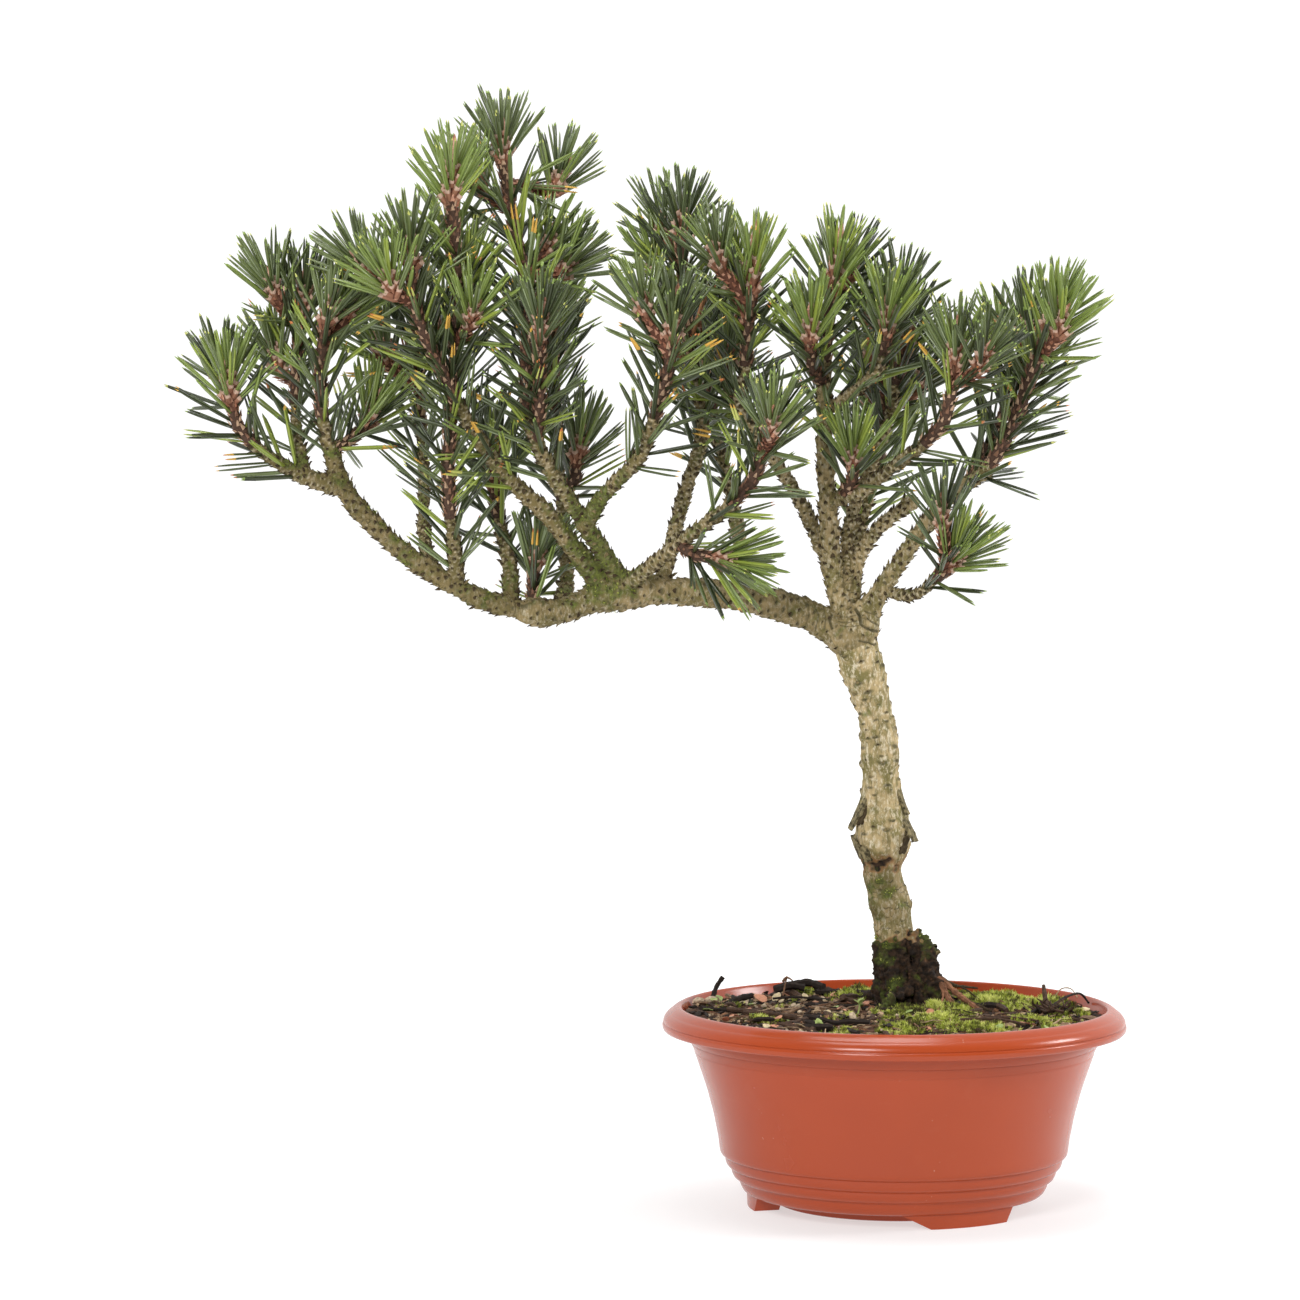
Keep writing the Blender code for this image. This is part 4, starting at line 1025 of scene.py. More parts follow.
# creases on the front of the fork, cut in and darkened with painted shade: (x, z) in mm, half its width,
# depth
folds = (
    (((-20.1, 309.1), (-17.9, 305.7), (-17.1, 300.8), (-14, 298.8), (-10.7, 297.5), (-6.8, 296.5)),
     0.75, 1.7),
    (((-15.2, 307.7), (-10.7, 306), (-6.9, 303.4)), 0.4, 0.6),
    (((-16.3, 305.5), (-11.8, 302.3), (-7.4, 299.9), (-5.9, 298.4)), 0.45, 0.8),
    (((-17.9, 292.2), (-12.9, 291.4), (-9.6, 290), (-7.8, 291.3)), 0.55, 1.0),
    (((-28.7, 302.3), (-24, 301.6), (-19.3, 302.9)), 0.35, 0.5),
    (((-27.8, 300.2), (-22.9, 299.6), (-18.5, 300.2)), 0.35, 0.45),
    (((-27.9, 304.9), (-24, 304.5), (-20.1, 305.7)), 0.35, 0.45),
    (((-44.7, 311), (-44, 305.7), (-45.5, 300.8)), 0.35, 0.5),
    (((-40.8, 309.9), (-39, 305.2), (-40.3, 299.9), (-40.8, 296.9)), 0.4, 0.6),
    (((-36.3, 308.2), (-35.3, 303.3), (-36.2, 298)), 0.4, 0.55),
    (((-32, 305.7), (-33.3, 302.4), (-32.1, 298.6)), 0.6, 1.0),
)

bark = {
    "fine": ("trunk", "bough_left_inner", "bough_left_outer", "limb_upright", "limb_right"),
    "creased": ("limb_upright", "limb_right", "bough_left_inner"),  # these have the folds listed above
    "fineVoxel": 0.52,  # mm
    "limbVoxel": 0.6,
    "bulge": (187, 4.4, 1.6),  # height of its widest place, how far it stands out, and to the right
    "stemThere": (-6, 24.2, 9.6),  # x, y and radius of the trunk under the bulge, in mm
    "underBulge": 175.5,  # height of the fold that it ends in, which is darkened with painted shade
    "cuts": (-34, 289, -133, -130),  # x of the bough's, height of the forks', x of the far limbs' and roots'
    "sprigs": (700, 160),  # of moss on the trunk and boughs, and on the limbs
    "flare": (2.4, 14),  # added to the trunk's radius at the ground, and the height over which it dies away
    "collar": 0.32,  # how much thicker a limb is where it leaves its carrier
    "trunkScarStep": 0.74,  # mm along for each leaf scar, which follow one another at the golden angle
    "scarStep": 0.60,
    "scarsFrom": 186,  # height on the trunk in mm, under which few scars are left
    "crustTop": 137,
    "tan": (0.54, 0.410, 0.215),
    "olive": (0.235, 0.200, 0.075),
    # pale is the colour of the bark's flecks, and of the painted highlights round the scars
    "pale": (0.80, 0.71, 0.53),
    "brown": (0.135, 0.105, 0.036),
    "scar": (0.070, 0.060, 0.028),
    # scar is the scars' own colour, and also the colour of the painted shade in folds, cracks and creases
    "crust": (0.014, 0.009, 0.006),
    "mossy": (0.115, 0.150, 0.022),
}


def woodLine(name, step=2.5 * mm):
    plan = wood[name]
    line, shares = smoothCourse(plan["course"], step)
    low, high = plan["radius"]
    radii = []
    length = courseLength(line)
    rng = random.Random(name)
    wave = rng.uniform(0, 6)
    for point, t in zip(line, shares):
        radius = low + (high - low) * t
        gone = t * length / mm
        radius *= 1 + 0.05 * math.sin(wave + gone * 0.16) + 0.03 * math.sin(2 * wave + gone * 0.41)
        for place, size, spread in plan.get("knuckles", ()):
            radius += size * math.exp(-((t - place) / spread) ** 2)
        if name == "trunk":
            swelling = swellingAt(point.z / mm)
            radius += bark["bulge"][1] * swelling
            point.x += bark["bulge"][2] * swelling * mm
            radius *= 1 - 0.2 * max(0, (t - 0.93) / 0.07) ** 2
            radius += bark["flare"][0] * math.exp(-(point.z / mm - groundLevel) / bark["flare"][1])
        elif name != "bough_left_outer":
            radius *= 1 + bark["collar"] * math.exp(-max(0, gone - 6) / 7)
        radii.append(radius * mm)
    return line, radii


def tubeCurve(name, line, radii):
    # a bevelled curve, thick as its radii say, made a mesh
    curve = bpy.data.curves.new(name, "CURVE")
    curve.dimensions = "3D"
    curve.bevel_depth = 1
    curve.bevel_resolution = 4
    curve.use_fill_caps = True
    spline = curve.splines.new("POLY")
    spline.points.add(len(line) - 1)
    for spot, point, radius in zip(spline.points, line, radii):
        spot.co = (*point, 1)
        spot.radius = radius
    piece = bpy.data.objects.new(name, curve)
    bpy.context.scene.collection.objects.link(piece)
    selectOnly(piece)
    bpy.ops.object.convert(target="MESH")
    return bpy.context.object


def growWood(name, limbs, extra, voxel):
    # all the limbs as tubes, grown together into one skin
    tubes = []
    for limb in limbs:
        line, radii = woodLine(limb)
        # both ends are rounded off, so that nothing stands out of the carrier as a shelf
        back, ahead = (line[0] - line[1]).normalized(), (line[-1] - line[-2]).normalized()
        first, last = radii[0], radii[-1]
        line = [line[0] + back * 0.8 * first, line[0] + back * 0.5 * first, *line,
                line[-1] + ahead * 0.45 * last, line[-1] + ahead * 0.75 * last]
        radii = [0.35 * first, 0.8 * first, *radii, 0.8 * last, 0.35 * last]
        tubes.append(tubeCurve(limb, line, radii))
    for course, (low, high) in extra:
        line, shares = smoothCourse(course, 3 * mm)
        tubes.append(tubeCurve("root", line, [(low + (high - low) * t) * mm for t in shares]))
    selectOnly(*tubes)
    bpy.ops.object.join()
    skin = bpy.context.object
    skin.name = name
    applyModifier(skin, "REMESH", mode="VOXEL", voxel_size=voxel * mm, adaptivity=0)
    applyModifier(skin, "SMOOTH", factor=0.5, iterations=6)
    return skin


def limbFrames(line):
    side = (line[1] - line[0]).orthogonal().normalized()
    sides, others = [], []
    for k in range(len(line)):
        before, after = line[max(0, k - 1)], line[min(len(line) - 1, k + 1)]
        heading = (after - before).normalized()
        side = (side - heading * side.dot(heading)).normalized()
        sides.append(side.copy())
        others.append(heading.cross(side))
    return np.array(sides), np.array(others)


def nearestLimb(points, limbs):
    # for each point: which limb it is on, how far along it in mm, the turn about it, and the radius there
    count = len(points)
    best = np.full(count, farOff)
    found = {"limb": np.zeros(count, int), "along": np.zeros(count), "turn": np.zeros(count),
             "radius": np.ones(count)}
    for number, limb in enumerate(limbs):
        line, radii = woodLine(limb)
        sides, others = limbFrames(line)
        nodes = np.array([tuple(p) for p in line])
        near = np.all((points > nodes.min(0) - 0.02) & (points < nodes.max(0) + 0.02), axis=1)
        which = np.flatnonzero(near)
        if not len(which):
            continue
        chosen = points[which]
        starts, runs = nodes[:-1], nodes[1:] - nodes[:-1]
        steps = np.linalg.norm(runs, axis=1)
        travelled = np.concatenate([[0], np.cumsum(steps)])[:-1]
        gap = np.full(len(which), farOff)
        along, turn, thick = np.zeros(len(which)), np.zeros(len(which)), np.ones(len(which))
        for k in range(len(starts)):
            off = chosen - starts[k]
            t = np.clip(off @ runs[k] / steps[k] ** 2, 0, 1)
            rest = off - t[:, None] * runs[k]
            far = np.linalg.norm(rest, axis=1)
            closer = far < gap
            gap[closer] = far[closer]
            along[closer] = (travelled[k] + t * steps[k])[closer]
            turn[closer] = np.arctan2(rest @ others[k], rest @ sides[k])[closer]
            thick[closer] = (radii[k] + (radii[k + 1] - radii[k]) * t)[closer]
        better = gap - thick < best[which]
        target = which[better]
        best[target] = (gap - thick)[better]
        found["limb"][target] = number
        found["along"][target] = along[better] / mm
        found["turn"][target] = turn[better]
        found["radius"][target] = thick[better] / mm
    return found


def scarStepOf(limb):
    return bark["trunkScarStep" if limb == "trunk" else "scarStep"]


def scarsOf(limb, length):
    # each leaf scar on a limb: how far along in mm, its turn, how big it is, and how its edge curls
    rng = random.Random(limb + "scars")
    step = scarStepOf(limb)
    onTrunk = limb == "trunk"
    places = []
    for k in range(int(length / step) + 8):
        along = (k - 4) * step + rng.uniform(-1, 1) * (1.3 if onTrunk else 0.6)
        size = rng.uniform(0.5, 1.3) if onTrunk else rng.uniform(0.65, 1.25)
        if onTrunk and rng.random() < (0.8 if along < bark["scarsFrom"] - groundLevel else 0.2):
            size = 0.01
        turn = k * goldenAngle + rng.uniform(-1, 1) * (0.26 if onTrunk else 0.18)
        places.append((along, turn, size, rng.uniform(-0.75, 0.75)))
    return np.array(places)


def scarRelief(along, turn, radius, scars, step):
    # height, and darkness or paleness, that the scars give to places on one limb. The darkness is each scar's
    # own dark face, deepened with painted shade, and the paleness is a painted highlight round the scar
    height = np.zeros(len(along))
    shade = np.zeros(len(along))
    middle = np.round(along / step).astype(int) + 4
    wide = np.clip(0.23 * radius, 1.0, 2.3)
    tall = np.clip(0.12 * radius, 0.7, 1.0)
    thick = np.clip((radius - 5) / 3, 0, 1)
    lift = np.clip(1.25 - 0.035 * radius, 0.85, 1.1) * (1 + 0.25 * thick)
    for away in range(-6, 7):
        k = np.clip(middle + away, 0, len(scars) - 1)
        size = scars[k, 2]
        aside = (turn - scars[k, 1] + math.pi) % (2 * math.pi) - math.pi
        aside = aside * radius / (wide * size)
        ahead = (along - scars[k, 0]) / (tall * size) + scars[k, 3] * np.minimum(aside ** 2, 3)
        over = np.exp(-aside ** 2)
        # a sharp drop towards the tip, and a long ridge that runs down from the scar
        bump = np.where(ahead > 0, np.exp(-(ahead / 0.8) ** 2), np.exp(-(ahead / 3.2) ** 2)) * over
        hollow = np.exp(-((ahead - 1.7) / 0.7) ** 2) * over
        height = np.maximum(height, bump * lift * size) - (0.3 - 0.2 * thick) * size * hollow
        # painted shade: the scar's own dark face, darkened further as if shaded
        scarFaceAndShade = np.exp(-((ahead - 0.3) / (1.0 - 0.15 * thick)) ** 2) * over * (1 - 0.15 * thick)
        # painted highlight: paler bark above and below each scar, as if lit from above
        rim = np.exp(-((ahead - 2.2) / 0.7) ** 2) * np.exp(-(aside * 0.8) ** 2)
        rim += np.exp(-((ahead + 1.6) / 0.9) ** 2) * over
        shade = np.where(np.abs(scarFaceAndShade) > np.abs(shade), scarFaceAndShade, shade)
        shade = np.where(0.45 * rim > np.abs(shade), -0.45 * rim, shade)
    return height, shade


def roughen(points, scale, seed, upright=1.0):
    return np.array([noise.noise(Vector((x * scale, y * scale, z * scale * upright + seed)))
                     for x, y, z in points])


def creases(points):
    # how deep the folds at the fork cut in, and how dark the painted shade in them is
    deep = np.zeros(len(points))
    dark = np.zeros(len(points))
    x, y, z = (points / mm).T
    near = np.flatnonzero((y < 17) & (x > -50) & (x < 0) & (z > 285) & (z < 315))
    for course, wide, depth in folds:
        far = np.full(len(near), farOff)
        for (ax, az), (bx, bz) in zip(course, course[1:]):
            length = (bx - ax) ** 2 + (bz - az) ** 2
            share = np.clip(((x[near] - ax) * (bx - ax) + (z[near] - az) * (bz - az)) / length, 0, 1)
            aside, above = x[near] - ax - share * (bx - ax), z[near] - az - share * (bz - az)
            far = np.minimum(far, np.hypot(aside, above))
        deep[near] = np.maximum(deep[near], depth * np.exp(-(far / wide) ** 2))
        dark[near] = np.maximum(dark[near], min(1, 0.35 + 0.5 * depth) * np.exp(-(far / wide) ** 2))
    return deep, dark


def dressWood(skin, limbs):
    # leaf scars, wrinkles and furrows moved into the skin, and its tones, painted shade and painted
    # highlights kept as an attribute
    mesh = skin.data
    count = len(mesh.vertices)
    points = np.empty(count * 3)
    mesh.vertices.foreach_get("co", points)
    points = points.reshape(-1, 3)
    normals = np.empty(count * 3)
    mesh.vertices.foreach_get("normal", normals)
    normals = normals.reshape(-1, 3)
    found = nearestLimb(points, limbs)
    height = np.zeros(count)
    shade = np.zeros(count)
    tone = np.zeros(count)
    coarse = roughen(points, 90, 0)
    middling = roughen(points, 330, 5)
    fine = roughen(points, 900, 9)
    for number, limb in enumerate(limbs):
        on = np.flatnonzero(found["limb"] == number)
        if not len(on):
            continue
        length = courseLength(woodLine(limb)[0]) / mm
        along, turn, radius = found["along"][on], found["turn"][on], found["radius"][on]
        bumps, scarFaceAndShade = scarRelief(along, turn, radius, scarsOf(limb, length), scarStepOf(limb))
        if limb == "trunk":
            collar = np.zeros(len(along))
        else:
            collar = np.exp(-(np.maximum(0, along - radius * 1.25) / 5.5) ** 2)
        # the fold lines that run round a limb where it leaves its carrier, cut in and darkened with painted
        # shade
        phase = along / 2.3 + 1.3 * coarse[on] + 0.22 * np.sin(turn) + 0.35 * middling[on]
        strength = 0.4 if limb in bark["creased"] else 1
        fold = np.maximum(0, np.cos(2 * math.pi * phase)) ** 7 * collar * strength
        height[on] = bumps * (1 - 0.5 * collar) - 0.38 * fold
        # painted shade in the folds; elsewhere the scars' dark faces with their painted shade
        shade[on] = np.where(fold > 0.3, 0.7 * fold, scarFaceAndShade * (1 - 0.4 * collar))
        tone[on] = wood[limb]["tone"]
    z = points[:, 2] / mm
    x = points[:, 0] / mm
    crust = np.clip((bark["crustTop"] + 6 * coarse + 6 * middling - z) / 3, 0, 1)
    if "trunk" in limbs:
        furrows = roughen(points, 300, 2, 0.22)
        streaks = roughen(points, 700, 4, 0.16)
        lowTrunk = np.clip((bark["scarsFrom"] - 2 - z) / 6, 0, 1) * (z > groundLevel - 1)
        cracks = np.maximum(0, np.cos(2 * math.pi * (z / 4.6 + 1.7 * coarse + 0.6 * middling))) ** 12
        cracks *= lowTrunk * (middling > -0.12) * (1 - crust)
        height += 0.2 * streaks * (z > groundLevel - 1) * (z < 300) - 0.45 * cracks
        height += crust * (3.2 * furrows + 1.3 * middling + 0.8 * fine + 0.9)
        # painted shade: the cracks are darkened as if shadowed
        shade = np.where(cracks > 0.4, cracks, shade)
        tone = tone + 0.52 * lowTrunk * (0.6 + coarse)
        # the bark bulge ends in a fold, cut in and darkened with the crust's dark colour as painted shade
        # under the overhang
        below = np.exp(-((z - bark["underBulge"] - 5 * coarse - 3 * middling - 0.12 * (x + 6)) / 2.9) ** 2)
        below = np.clip(below * (1.0 + 2.0 * roughen(points, 170, 6)) * np.clip((8 - x) / 8, 0.3, 1), 0, 1)
        height -= 0.9 * below
        crust = np.maximum(crust, 0.85 * below)
        # the creases at the fork are cut in and darkened with painted shade
        deep, dark = creases(points)
        height -= deep
        shade = np.maximum(shade, dark)
    height = height + 0.28 * middling + 0.15 * fine
    shade = shade * (1 - crust)
    onKnot = np.exp(-((x + 150) / 20) ** 2) * np.clip((z - 308) / 8, 0, 1) * np.clip((385 - z) / 20, 0, 1)
    onTips = np.clip(tone - 0.5, 0, 1) * 2
    onStem = np.exp(-((z - 150) / 16) ** 2) * np.clip((6 - x) / 16, 0, 1) * 0.8 if "trunk" in limbs else 0
    patches = roughen(points, 140, 3) + 0.5 * roughen(points, 400, 8)
    onEdge = 0.7 * np.exp(-((z - bark["crustTop"] + 1) / 3.5) ** 2) if "trunk" in limbs else 0
    facingUp = np.clip(normals[:, 2] + 0.4, 0, 1)
    mossy = onKnot * 1.5 + onTips * facingUp + crust * 0.35 + onStem + onEdge
    mossy = np.clip(mossy + 0.25 * np.clip((tone - 0.55) / 0.15, 0, 1) + 1.5 * patches - 0.55, 0, 1)
    points += normals * (height * mm)[:, None]
    mesh.vertices.foreach_set("co", points.reshape(-1))
    tones = mesh.attributes.new("barkToneAndShade", "FLOAT_COLOR", "POINT")
    # the first channel is painted shade, or painted highlight where it is below zero
    channels = np.stack([shade, mossy, crust, tone], axis=1).astype(np.float32)
    tones.data.foreach_set("color", channels.reshape(-1))
    mesh.update()
    selectOnly(skin)
    bpy.ops.object.shade_smooth()


def barkFinish():
    finish = Shading("oliveTanBark", bark["tan"], 0.85, 0.25)
    tones = finish.add("ShaderNodeAttribute", attribute_name="barkToneAndShade")
    split = finish.add("ShaderNodeSeparateColor")
    finish.link(tones.outputs["Color"], split.inputs["Color"])
    shade, mossy, crust = (split.outputs[name] for name in ("Red", "Green", "Blue"))
    tone = tones.outputs["Alpha"]
    blotches = finish.noise(85, 4, 0.6)
    halfway = mixed(bark["olive"], bark["tan"], 0.65)
    base = finish.ramp(blotches, ((0.41, bark["olive"]), (0.5, halfway), (0.57, bark["tan"])))
    streaks = finish.range(finish.noise(520, 4, 0.65, finish.place((1, 1, 0.22))), 0.47, 0.62, 0, 0.75)
    base = finish.mix(streaks, base, mixed(bark["olive"], bark["scar"], 0.45))
    flecks = finish.range(finish.noise(640, 5, 0.7, finish.place((1, 1, 0.5))), 0.5, 0.64, 0, 0.85)
    base = finish.mix(flecks, base, bark["pale"])
    browner = finish.mix(0.75, base, bark["brown"], "MULTIPLY")
    base = finish.mix(finish.math("MULTIPLY", tone, 0.85), base, browner)
    browned = finish.range(finish.noise(150, 4, 0.6), 0.35, 0.6, 0.35, 0.95)
    base = finish.mix(finish.math("MULTIPLY", tone, browned), base, bark["brown"])
    patches = finish.noise(300, 4, 0.6)
    # painted shade: the shade channel darkens the bark towards the scar colour in scars, folds, cracks and
    # creases
    dark = finish.range(shade, 0.12, 0.62)
    dark = finish.math("MULTIPLY", dark, finish.range(patches, 0.3, 0.6, 0.6, 0.95))
    base = finish.mix(dark, base, bark["scar"])
    # painted highlight: where the shade channel is below zero, round the scars, the bark is made paler
    light = finish.math("MULTIPLY", finish.range(shade, -0.1, -0.45), finish.range(tone, 0, 1, 0.62, 0.4))
    base = finish.mix(light, base, bark["pale"])
    deepGreen = mixed(bark["mossy"], (0.02, 0.02, 0.01), 0.65)
    green = finish.ramp(finish.noise(640, 3), ((0.4, deepGreen), (0.65, bark["mossy"])))
    base = finish.mix(finish.math("MULTIPLY", mossy, 0.8), base, green)
    edge = finish.math("MULTIPLY", finish.range(crust, 0.02, 0.3), finish.range(crust, 0.9, 0.4))
    base = finish.mix(finish.math("MULTIPLY", edge, 0.7), base, (0.27, 0.125, 0.05))
    # the crust's own dark colours, which also paint shade into the fold under the bulge
    crustAndShade = finish.ramp(finish.noise(330, 5, 0.65),
                       ((0.42, bark["crust"]), (0.62, (0.055, 0.030, 0.016)), (0.78, (0.20, 0.095, 0.045))))
    crustAndShade = finish.mix(finish.math("MULTIPLY", mossy, 0.85), crustAndShade, green)
    base = finish.mix(finish.range(crust, 0.3, 0.75), base, crustAndShade)
    finish.colour(base)
    finish.roughness(finish.range(patches, 0.3, 0.7, 0.72, 0.95))
    finish.bump(finish.noise(1500, 5, 0.65), 0.5, 0.0005)
    finish.bump(finish.noise(600, 4, 0.6, finish.place((1, 1, 0.25))), 0.55, 0.0009)
    return finish.material


def flakeShape():
    # a thin pointed scale that lifts off the bark towards the tip of the limb
    rings = [[(-0.5, -0.1, 0.0), (0.5, -0.1, 0.0), (0.36, 0.3, 0.1), (-0.36, 0.3, 0.1)],
             [(-0.34, 0.25, 0.6), (0.34, 0.25, 0.6), (0.22, 0.62, 0.62), (-0.22, 0.62, 0.62)],
             [(0.0, 0.85, 1.0)]]
    return barShape(rings)


def splitSkin(skin, parts):
    # some faces become pieces of their own. the shading of the whole skin is kept along the cuts
    mesh = skin.data
    normals = np.empty(len(mesh.vertices) * 3)
    mesh.vertices.foreach_get("normal", normals)
    mesh.attributes.new("skinNormal", "FLOAT_VECTOR", "POINT").data.foreach_set("vector", normals)
    pieces = [skin]
    for name, wanted in parts:
        pickFaces(skin, wanted)
        bpy.ops.mesh.separate(type="SELECTED")
        bpy.ops.object.mode_set(mode="OBJECT")
        cut = next(piece for piece in bpy.context.selected_objects if piece is not skin)
        cut.name = name
        pieces.append(cut)
    for piece in pieces:
        kept = piece.data.attributes["skinNormal"]
        normals = np.empty(len(piece.data.vertices) * 3)
        kept.data.foreach_get("vector", normals)
        piece.data.attributes.remove(kept)
        piece.data.normals_split_custom_set_from_vertices(normals.reshape(-1, 3).tolist())
        print(f"{piece.name}: {2 * len(piece.data.polygons)} triangles")
    return pieces


def mossOnBark(skin, heap, firstTint, count):
    # small sprigs where the bark is mossy
    rng = random.Random(crownSeed + 5)
    mesh = skin.data
    tones = np.empty(len(mesh.vertices) * 4)
    mesh.attributes["barkToneAndShade"].data.foreach_get("color", tones)
    tones = tones.reshape(-1, 4)
    chosen = np.flatnonzero((tones[:, 1] > 0.75) & (tones[:, 0] < 0.5)).tolist()
    shape = sprigShape(6, rng)
    rows = newRows()
    for k in rng.sample(chosen, min(count, len(chosen))):
        vertex = mesh.vertices[k]
        tall = rng.uniform(0.9, 1.9)
        along = (vertex.normal + 0.5 * up + 0.4 * lying(rng)).normalized()
        across, normal = axesFor(along, rng.uniform(0, anyTurn))
        lay(rows, vertex.co - vertex.normal * 0.3 * mm, across * tall * mm, normal * tall * mm,
            along * tall * mm, firstTint + rng.choice((0, 1, 1, 2, 2, 3)))
    heap.copies(shape, *rows)


def scatterFlakes(limbs, heap, firstTint):
    # the dry remains of leaf bases that stand up from each scar
    rng = random.Random(crownSeed + 3)
    rows = newRows()
    for limb in limbs:
        line, radii = woodLine(limb)
        sides, others = limbFrames(line)
        steps = [0]
        for a, b in zip(line, line[1:]):
            steps.append(steps[-1] + (b - a).length / mm)
        worn = 0.3 if limb == "trunk" else 0.1
        for along, turn, size, _ in scarsOf(limb, steps[-1]):
            if size < 0.1 or not 1 < along < steps[-1] - 0.5 or rng.random() < worn:
                continue
            k = max(j for j in range(len(line) - 1) if steps[j] <= along)
            t = (along - steps[k]) / (steps[k + 1] - steps[k])
            heading = (line[k + 1] - line[k]).normalized()
            out = Vector(sides[k]) * math.cos(turn) + Vector(others[k]) * math.sin(turn)
            radius = radii[k] + (radii[k + 1] - radii[k]) * t
            place = between(line[k], line[k + 1], t) + out * (radius + 0.12 * mm)
            if place.z < (bark["crustTop"] + 1) * mm:
                continue
            onTrunk = radius > 7 * mm
            big = size * (1.5 if onTrunk else 1.9) * rng.uniform(0.7, 1.3)
            lay(rows, place, heading.cross(out) * big * rng.uniform(1.0, 1.7 if onTrunk else 1.3) * mm,
                out * big * rng.uniform(0.5, 1.0 if onTrunk else 1.35) * mm, heading * big * mm,
                firstTint + (1 if rng.random() < wood[limb]["tone"] * 0.6 + 0.4 else 0))
    heap.copies(flakeShape(), *rows)


# peeling bark at the bulge: turn in degrees, height of its root and its tip in mm, how far the tip
# stands off, half its width
flaps = (
    (196, 210, 193, 4.2, 4.4),
    (214, 207, 196, 2.0, 3.2),
    (200, 178, 190, 2.8, 3.6),
    (226, 177, 185, 1.2, 2.6),
    (336, 219, 201, 1.7, 2.8),
    (334, 203, 187, 3.8, 4.2),
    (318, 181, 190, 1.8, 2.6),
    (70, 205, 190, 2.4, 2.8),
    (128, 208, 192, 2.0, 2.6),
)


def swellingAt(z):
    # how far the bulge has swollen at a height in mm. it swells slowly downwards and overhangs
    # the smoother stem below it
    above = z - bark["bulge"][0]
    return math.exp(-(above / 21) ** 2) if above > 0 else math.exp(-(above / 12) ** 4)


def addFlaps(heap, tint):
    # thin curling plates, solid through
    def topOf(k, j):
        return 2 * (k * columns + j)

    def underOf(k, j):
        return topOf(k, j) + 1

    rng = random.Random(crownSeed + 4)
    columns = 5
    last = columns - 1
    x, y, stem = bark["stemThere"]
    _, swell, shift = bark["bulge"]
    for turn, root, tip, gap, width in flaps:
        out = Vector((math.cos(math.radians(turn)), math.sin(math.radians(turn)), 0))
        across = Vector((-out.y, out.x, 0))
        line, shares = [], []
        for k in range(9):
            t = k / 8
            z = root + (tip - root) * t
            far = stem + swell * swellingAt(z) - 1.2 + (gap + 1.2) * t ** 1.3
            line.append((Vector((x + shift * swellingAt(z), y, z)) + out * far) * mm)
            shares.append(t)
        points = []
        for k, (point, t) in enumerate(zip(line, shares)):
            heading = (line[min(k + 1, len(line) - 1)] - line[max(k - 1, 0)]).normalized()
            normal = across.cross(heading).normalized()
            if normal.dot(out) < 0:
                normal = -normal
            half = width * mm * (1 - 0.35 * t ** 2) * (1 + 0.22 * rng.uniform(-1, 1))
            for j in range(columns):
                share = 2 * j / last - 1
                edge = rng.uniform(-0.5, 0.5) * mm if k in (0, len(line) - 1) else 0
                curve = -0.5 * (share * half) ** 2 / (13 * mm)
                lift = curve + 0.25 * t * share ** 2 * half
                spot = point + across * half * share + normal * lift + heading * edge
                points.append(spot + normal * 0.85 * mm * (1 - 0.3 * t))
                points.append(spot - normal * 0.85 * mm * (1 - 0.3 * t))
        end = len(line) - 1
        sheet = []
        for k in range(end):
            for j in range(last):
                sheet.append((topOf(k, j), topOf(k, j + 1), topOf(k + 1, j + 1), topOf(k + 1, j)))
                sheet.append((underOf(k, j), underOf(k + 1, j), underOf(k + 1, j + 1), underOf(k, j + 1)))
            sheet.append((topOf(k, 0), topOf(k + 1, 0), underOf(k + 1, 0), underOf(k, 0)))
            sheet.append((topOf(k, last), underOf(k, last), underOf(k + 1, last), topOf(k + 1, last)))
        for j in range(last):
            sheet.append((topOf(0, j), underOf(0, j), underOf(0, j + 1), topOf(0, j + 1)))
            sheet.append((topOf(end, j), topOf(end, j + 1), underOf(end, j + 1), underOf(end, j)))
        if line[-1].z <= line[0].z:  # one that hangs down is wound the other way
            sheet = [tuple(reversed(face)) for face in sheet]
        heap.one(points, sheet, tint if rng.random() < 0.5 else tint - 1)


